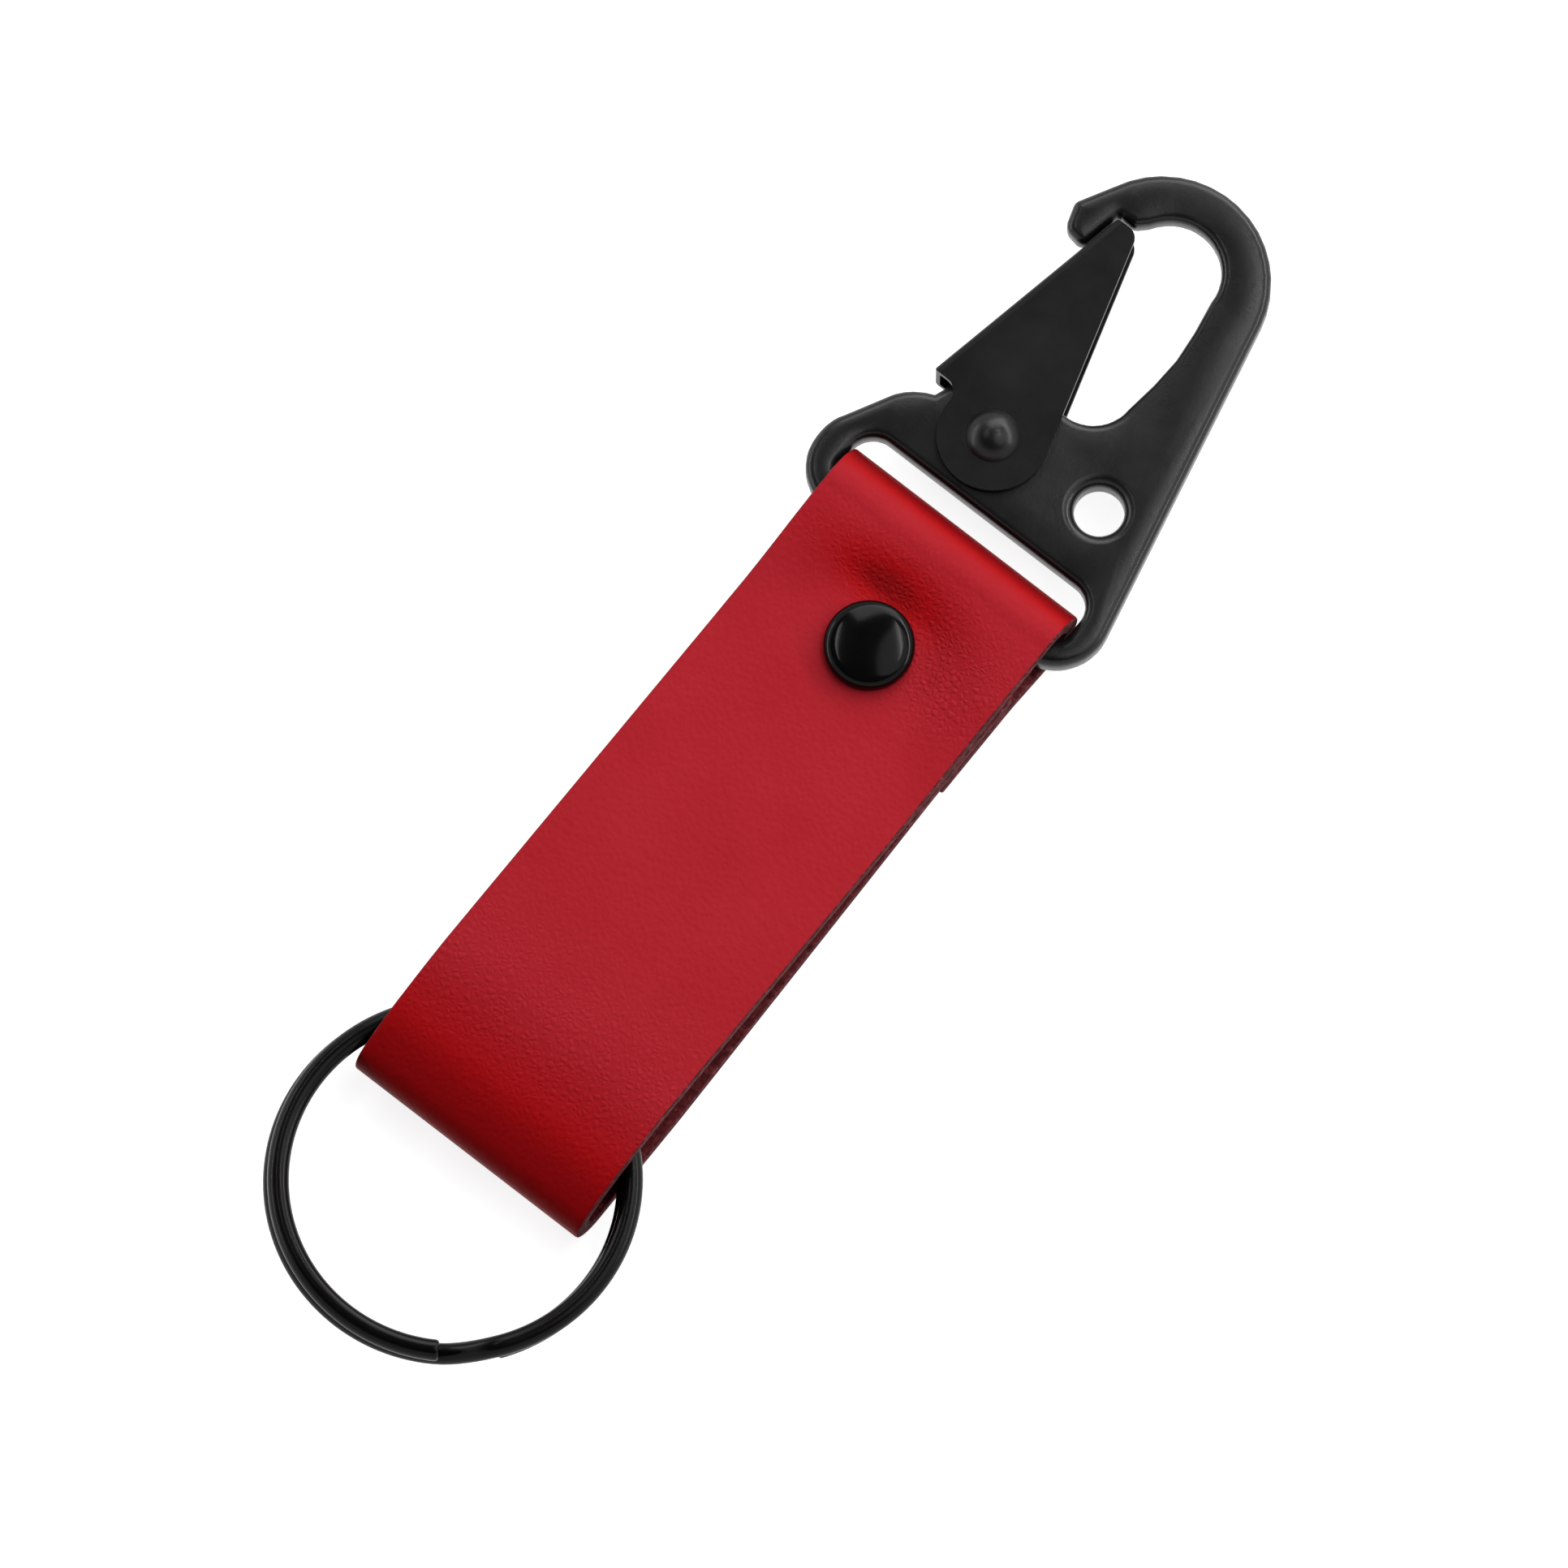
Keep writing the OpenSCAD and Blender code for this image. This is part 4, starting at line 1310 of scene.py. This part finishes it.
@dataclass
class CapRivet:
    """The double-capped rivet that clamps the strap's three layers. Sizes are in millimetres."""

    centre: tuple[float, float] = (-0.9, 12.16)
    radius: float = 4.05
    height: float = 1.9
    wall: float = 0.3
    shoulder: float = 0.85
    crown_curve: float = 16.0
    crown_tilt_deg: float = 10.8
    # Tilt of the crown's first ring, next to the axis
    axis_tilt_deg: float = 0.15
    # The blend from crown to shoulder: its radius, the tilt where it ends and where the shoulder takes over
    blend: float = 1.77
    blend_end_deg: float = 34.0
    shoulder_start_deg: float = 36.5
    # How far below the crown the shoulder's centre is, in shoulder radii
    shoulder_drop: float = 1.5
    rim_chamfer: float = 0.06
    # Inside: how far the straight wall runs above the shoulder's centre, the corner, and the crown's tilt
    wall_rise: float = 0.15
    inner_corner: tuple[tuple[float, float], ...] = ((3.56, 1.192), (3.31, 1.246))
    inner_tilt_deg: float = 12.0
    # Chords of the crown, the blend and the shoulder
    chords: tuple[int, int, int] = (12, 8, 12)
    front_base: float = 7.5
    rear_base: float = 1.9

    def build(self, steel: bpy.types.Material) -> None:
        """Dress the rivet's pieces.

        Args:
            steel: What the hidden post and socket are made of.
        """
        lacquer = CAP_LACQUER.material()
        profile = self.shell()
        front = turn_profile("front_cap_shell", self.centre, [(r, self.front_base + z) for r, z in profile])
        stand_in(front, "rivet_front_cap", lacquer, Body.STRAP)
        rear = turn_profile("rear_cap_shell", self.centre, [(r, self.rear_base - z) for r, z in profile])
        stand_in(rear, "rivet_rear_cap", lacquer, Body.STRAP)
        smooth_twin("rivet_socket", "rivet_socket_tube", steel, Body.STRAP)
        smooth_twin("rivet_post", "rivet_post_pin", steel, Body.STRAP)

    def shell(self) -> list[tuple[float, float]]:
        """List the points of a cap's sheet from its crown down the outside and up the inside.

        Returns:
            Distances from the axis with their heights above the rim.
        """
        tilt, axis = self.crown_tilt_deg, self.axis_tilt_deg
        on_crown, on_blend, on_shoulder = self.chords
        middle = (0.0, self.height - self.crown_curve)
        crown = arc(middle, self.crown_curve, axis, tilt, on_crown)
        turn = math.radians(tilt)
        centre = (crown[-1][0] - self.blend * math.sin(turn), crown[-1][1] - self.blend * math.cos(turn))
        side = self.height - self.shoulder_drop * self.shoulder
        corner = (self.radius - self.shoulder, side)
        outside = crown + arc(centre, self.blend, tilt, self.blend_end_deg, on_blend)[1:]
        outside += arc(corner, self.shoulder, self.shoulder_start_deg, 90.0, on_shoulder)
        rim = [(self.radius, self.rim_chamfer), (self.radius - self.rim_chamfer, 0.0)]
        hollow = self.radius - self.wall
        inside = [(hollow, 0.0), (hollow, side + self.wall_rise), *self.inner_corner]
        inside += arc(middle, self.crown_curve - self.wall, self.inner_tilt_deg, axis, on_crown)[1:]
        return outside + rim + inside


@dataclass(frozen=True)
class Lamp:
    """A soft box that faces the fob. Lengths are in metres."""

    name: str
    # Right, up and backward from the camera's target, in the camera's own directions
    place: tuple[float, float, float]
    size: tuple[float, float]
    watts: float
    shape: LampShape = LampShape.BOX


LAMPS = (
    # High up, out of the plate's mirror direction: it lights the leather and leaves the black paint dark
    Lamp("key_box", (0.22, 0.94, 0.38), (1.1, 0.55), 7.2),
    # Tall and narrow at the sides: long lights along the hook's rounded edges and the wire
    Lamp("right_box", (0.545, 0.236, 0.263), (0.06, 0.75), 1.84),
    Lamp("left_box", (-0.598, 0.206, 0.147), (0.05, 0.75), 1.06),
    # Thin strips: the arcs at the two sides of the front cap
    Lamp("right_arc", (0.1795, 0.2466, 0.404), (0.013, 0.24), 0.22),
    Lamp("left_arc", (-0.1725, 0.2456, 0.401), (0.013, 0.24), 0.17),
    # A disc near the plate's mirror direction: its lighter lower right
    Lamp("fill_disc", (0.175, 0.089, 0.306), (0.3, 0.36), 0.42, LampShape.DISC),
)


@dataclass
class Studio:
    """The camera, the lamps, the white floor and the world. Lengths are in metres."""

    target: tuple[float, float, float] = (0.00106, -0.0024, 0.008)
    right: tuple[float, float, float] = (0.7837, 0.6211, 0.0)
    towards: tuple[float, float, float] = (0.155, -0.196, 0.968)
    lens_mm: float = 1000.0
    view_width: float = 0.138
    sensor_mm: float = 36.0
    clip: tuple[float, float] = (0.01, 100.0)
    room: float = 0.1
    cove_radius: float = 4.0
    cove_height: float = 3.0
    cove_sides: int = 96
    # The paper lies this far below the fob, so that their faces don't fight
    paper_drop: float = 0.00005

    def axes(self) -> tuple[Vector, Vector, Vector]:
        """Work out the camera's own directions.

        Returns:
            Right, up and backward.
        """
        back = Vector(self.towards).normalized()
        right = Vector(self.right)
        right = (right - back * right.dot(back)).normalized()
        return right, back.cross(right), back

    def spot(self, right: float, up: float, back: float) -> Vector:
        """Say where a point is that is given in the camera's own directions from its target."""
        axes = self.axes()
        return Vector(self.target) + axes[0] * right + axes[1] * up + axes[2] * back

    def camera(self) -> None:
        """Set the camera at the photograph's angle, far off with a long lens."""
        right, up, back = self.axes()
        data = bpy.data.cameras.new("studio_camera")
        data.lens = self.lens_mm
        data.sensor_width = self.sensor_mm
        data.clip_start, data.clip_end = self.clip
        obj = bpy.data.objects.new("studio_camera", data)
        bpy.context.scene.collection.objects.link(obj)
        distance = self.view_width * self.lens_mm / self.sensor_mm
        turn = Matrix((right, up, back)).transposed().to_4x4()
        obj.matrix_world = Matrix.Translation(Vector(self.target) + back * distance) @ turn
        bpy.context.scene.camera = obj

    def hang(self, lamp: Lamp) -> None:
        """Hang a lamp so that it faces the fob.

        Args:
            lamp: What is hung, and where.
        """
        data = bpy.data.lights.new(lamp.name, "AREA")
        data.shape = lamp.shape.value
        data.size, data.size_y = lamp.size
        data.energy = lamp.watts
        obj = bpy.data.objects.new(lamp.name, data)
        bpy.context.scene.collection.objects.link(obj)
        place = self.spot(*lamp.place)
        back = (place - Vector(self.target)).normalized()
        side = self.axes()[1].cross(back).normalized()
        turn = Matrix((side, back.cross(side), back)).transposed().to_4x4()
        obj.matrix_world = Matrix.Translation(place) @ turn

    def build(self) -> None:
        """Set up the view, the light and the ground."""
        scene = bpy.context.scene
        scene.view_settings.view_transform = "Standard"
        self.camera()
        for lamp in LAMPS:
            self.hang(lamp)
        world = bpy.data.worlds.new("studio_world")
        scene.world = world
        world.use_nodes = True
        tree = world.node_tree
        tree.nodes.clear()
        glow = add_node(tree, "ShaderNodeBackground", Color=WHITE, Strength=self.room)
        add_node(tree, "ShaderNodeOutputWorld", Surface=glow.outputs[0])
        self.floor()

    def floor(self) -> None:
        """Lay the white paper that the fob rests on; far off it turns up into a wall."""
        settle()
        bpy.ops.mesh.primitive_circle_add(
            vertices=self.cove_sides, radius=self.cove_radius, fill_type="NGON",
            location=(0.0, 0.0, -self.paper_drop),
        )
        paper = bpy.context.object
        paper.name = "paper_floor"
        bpy.ops.object.transform_apply(location=True, rotation=True, scale=True)
        bpy.ops.object.mode_set(mode="EDIT")
        choose_edges(lambda a, b: True)
        bpy.ops.mesh.extrude_region_move(TRANSFORM_OT_translate={"value": (0.0, 0.0, self.cove_height)})
        bpy.ops.object.mode_set(mode="OBJECT")
        dress(paper, WhitePaper().material())


def main() -> None:
    """Load the frame, build the fob's looks round it and report each piece."""
    logging.basicConfig(level=logging.INFO, format="%(name)s: %(message)s")
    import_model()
    Studio().build()
    steel = DrawnSteel().material()
    SnapHook().build(steel)
    CapRivet().build(steel)
    SplitRing().build(RING_ENAMEL.material())
    strap = LeatherStrap()
    strap.build()
    strap.finish(PlatedLeather().material(), CUT_EDGE.material(), FLESH_SIDE.material())


if __name__ == "__main__":
    main()
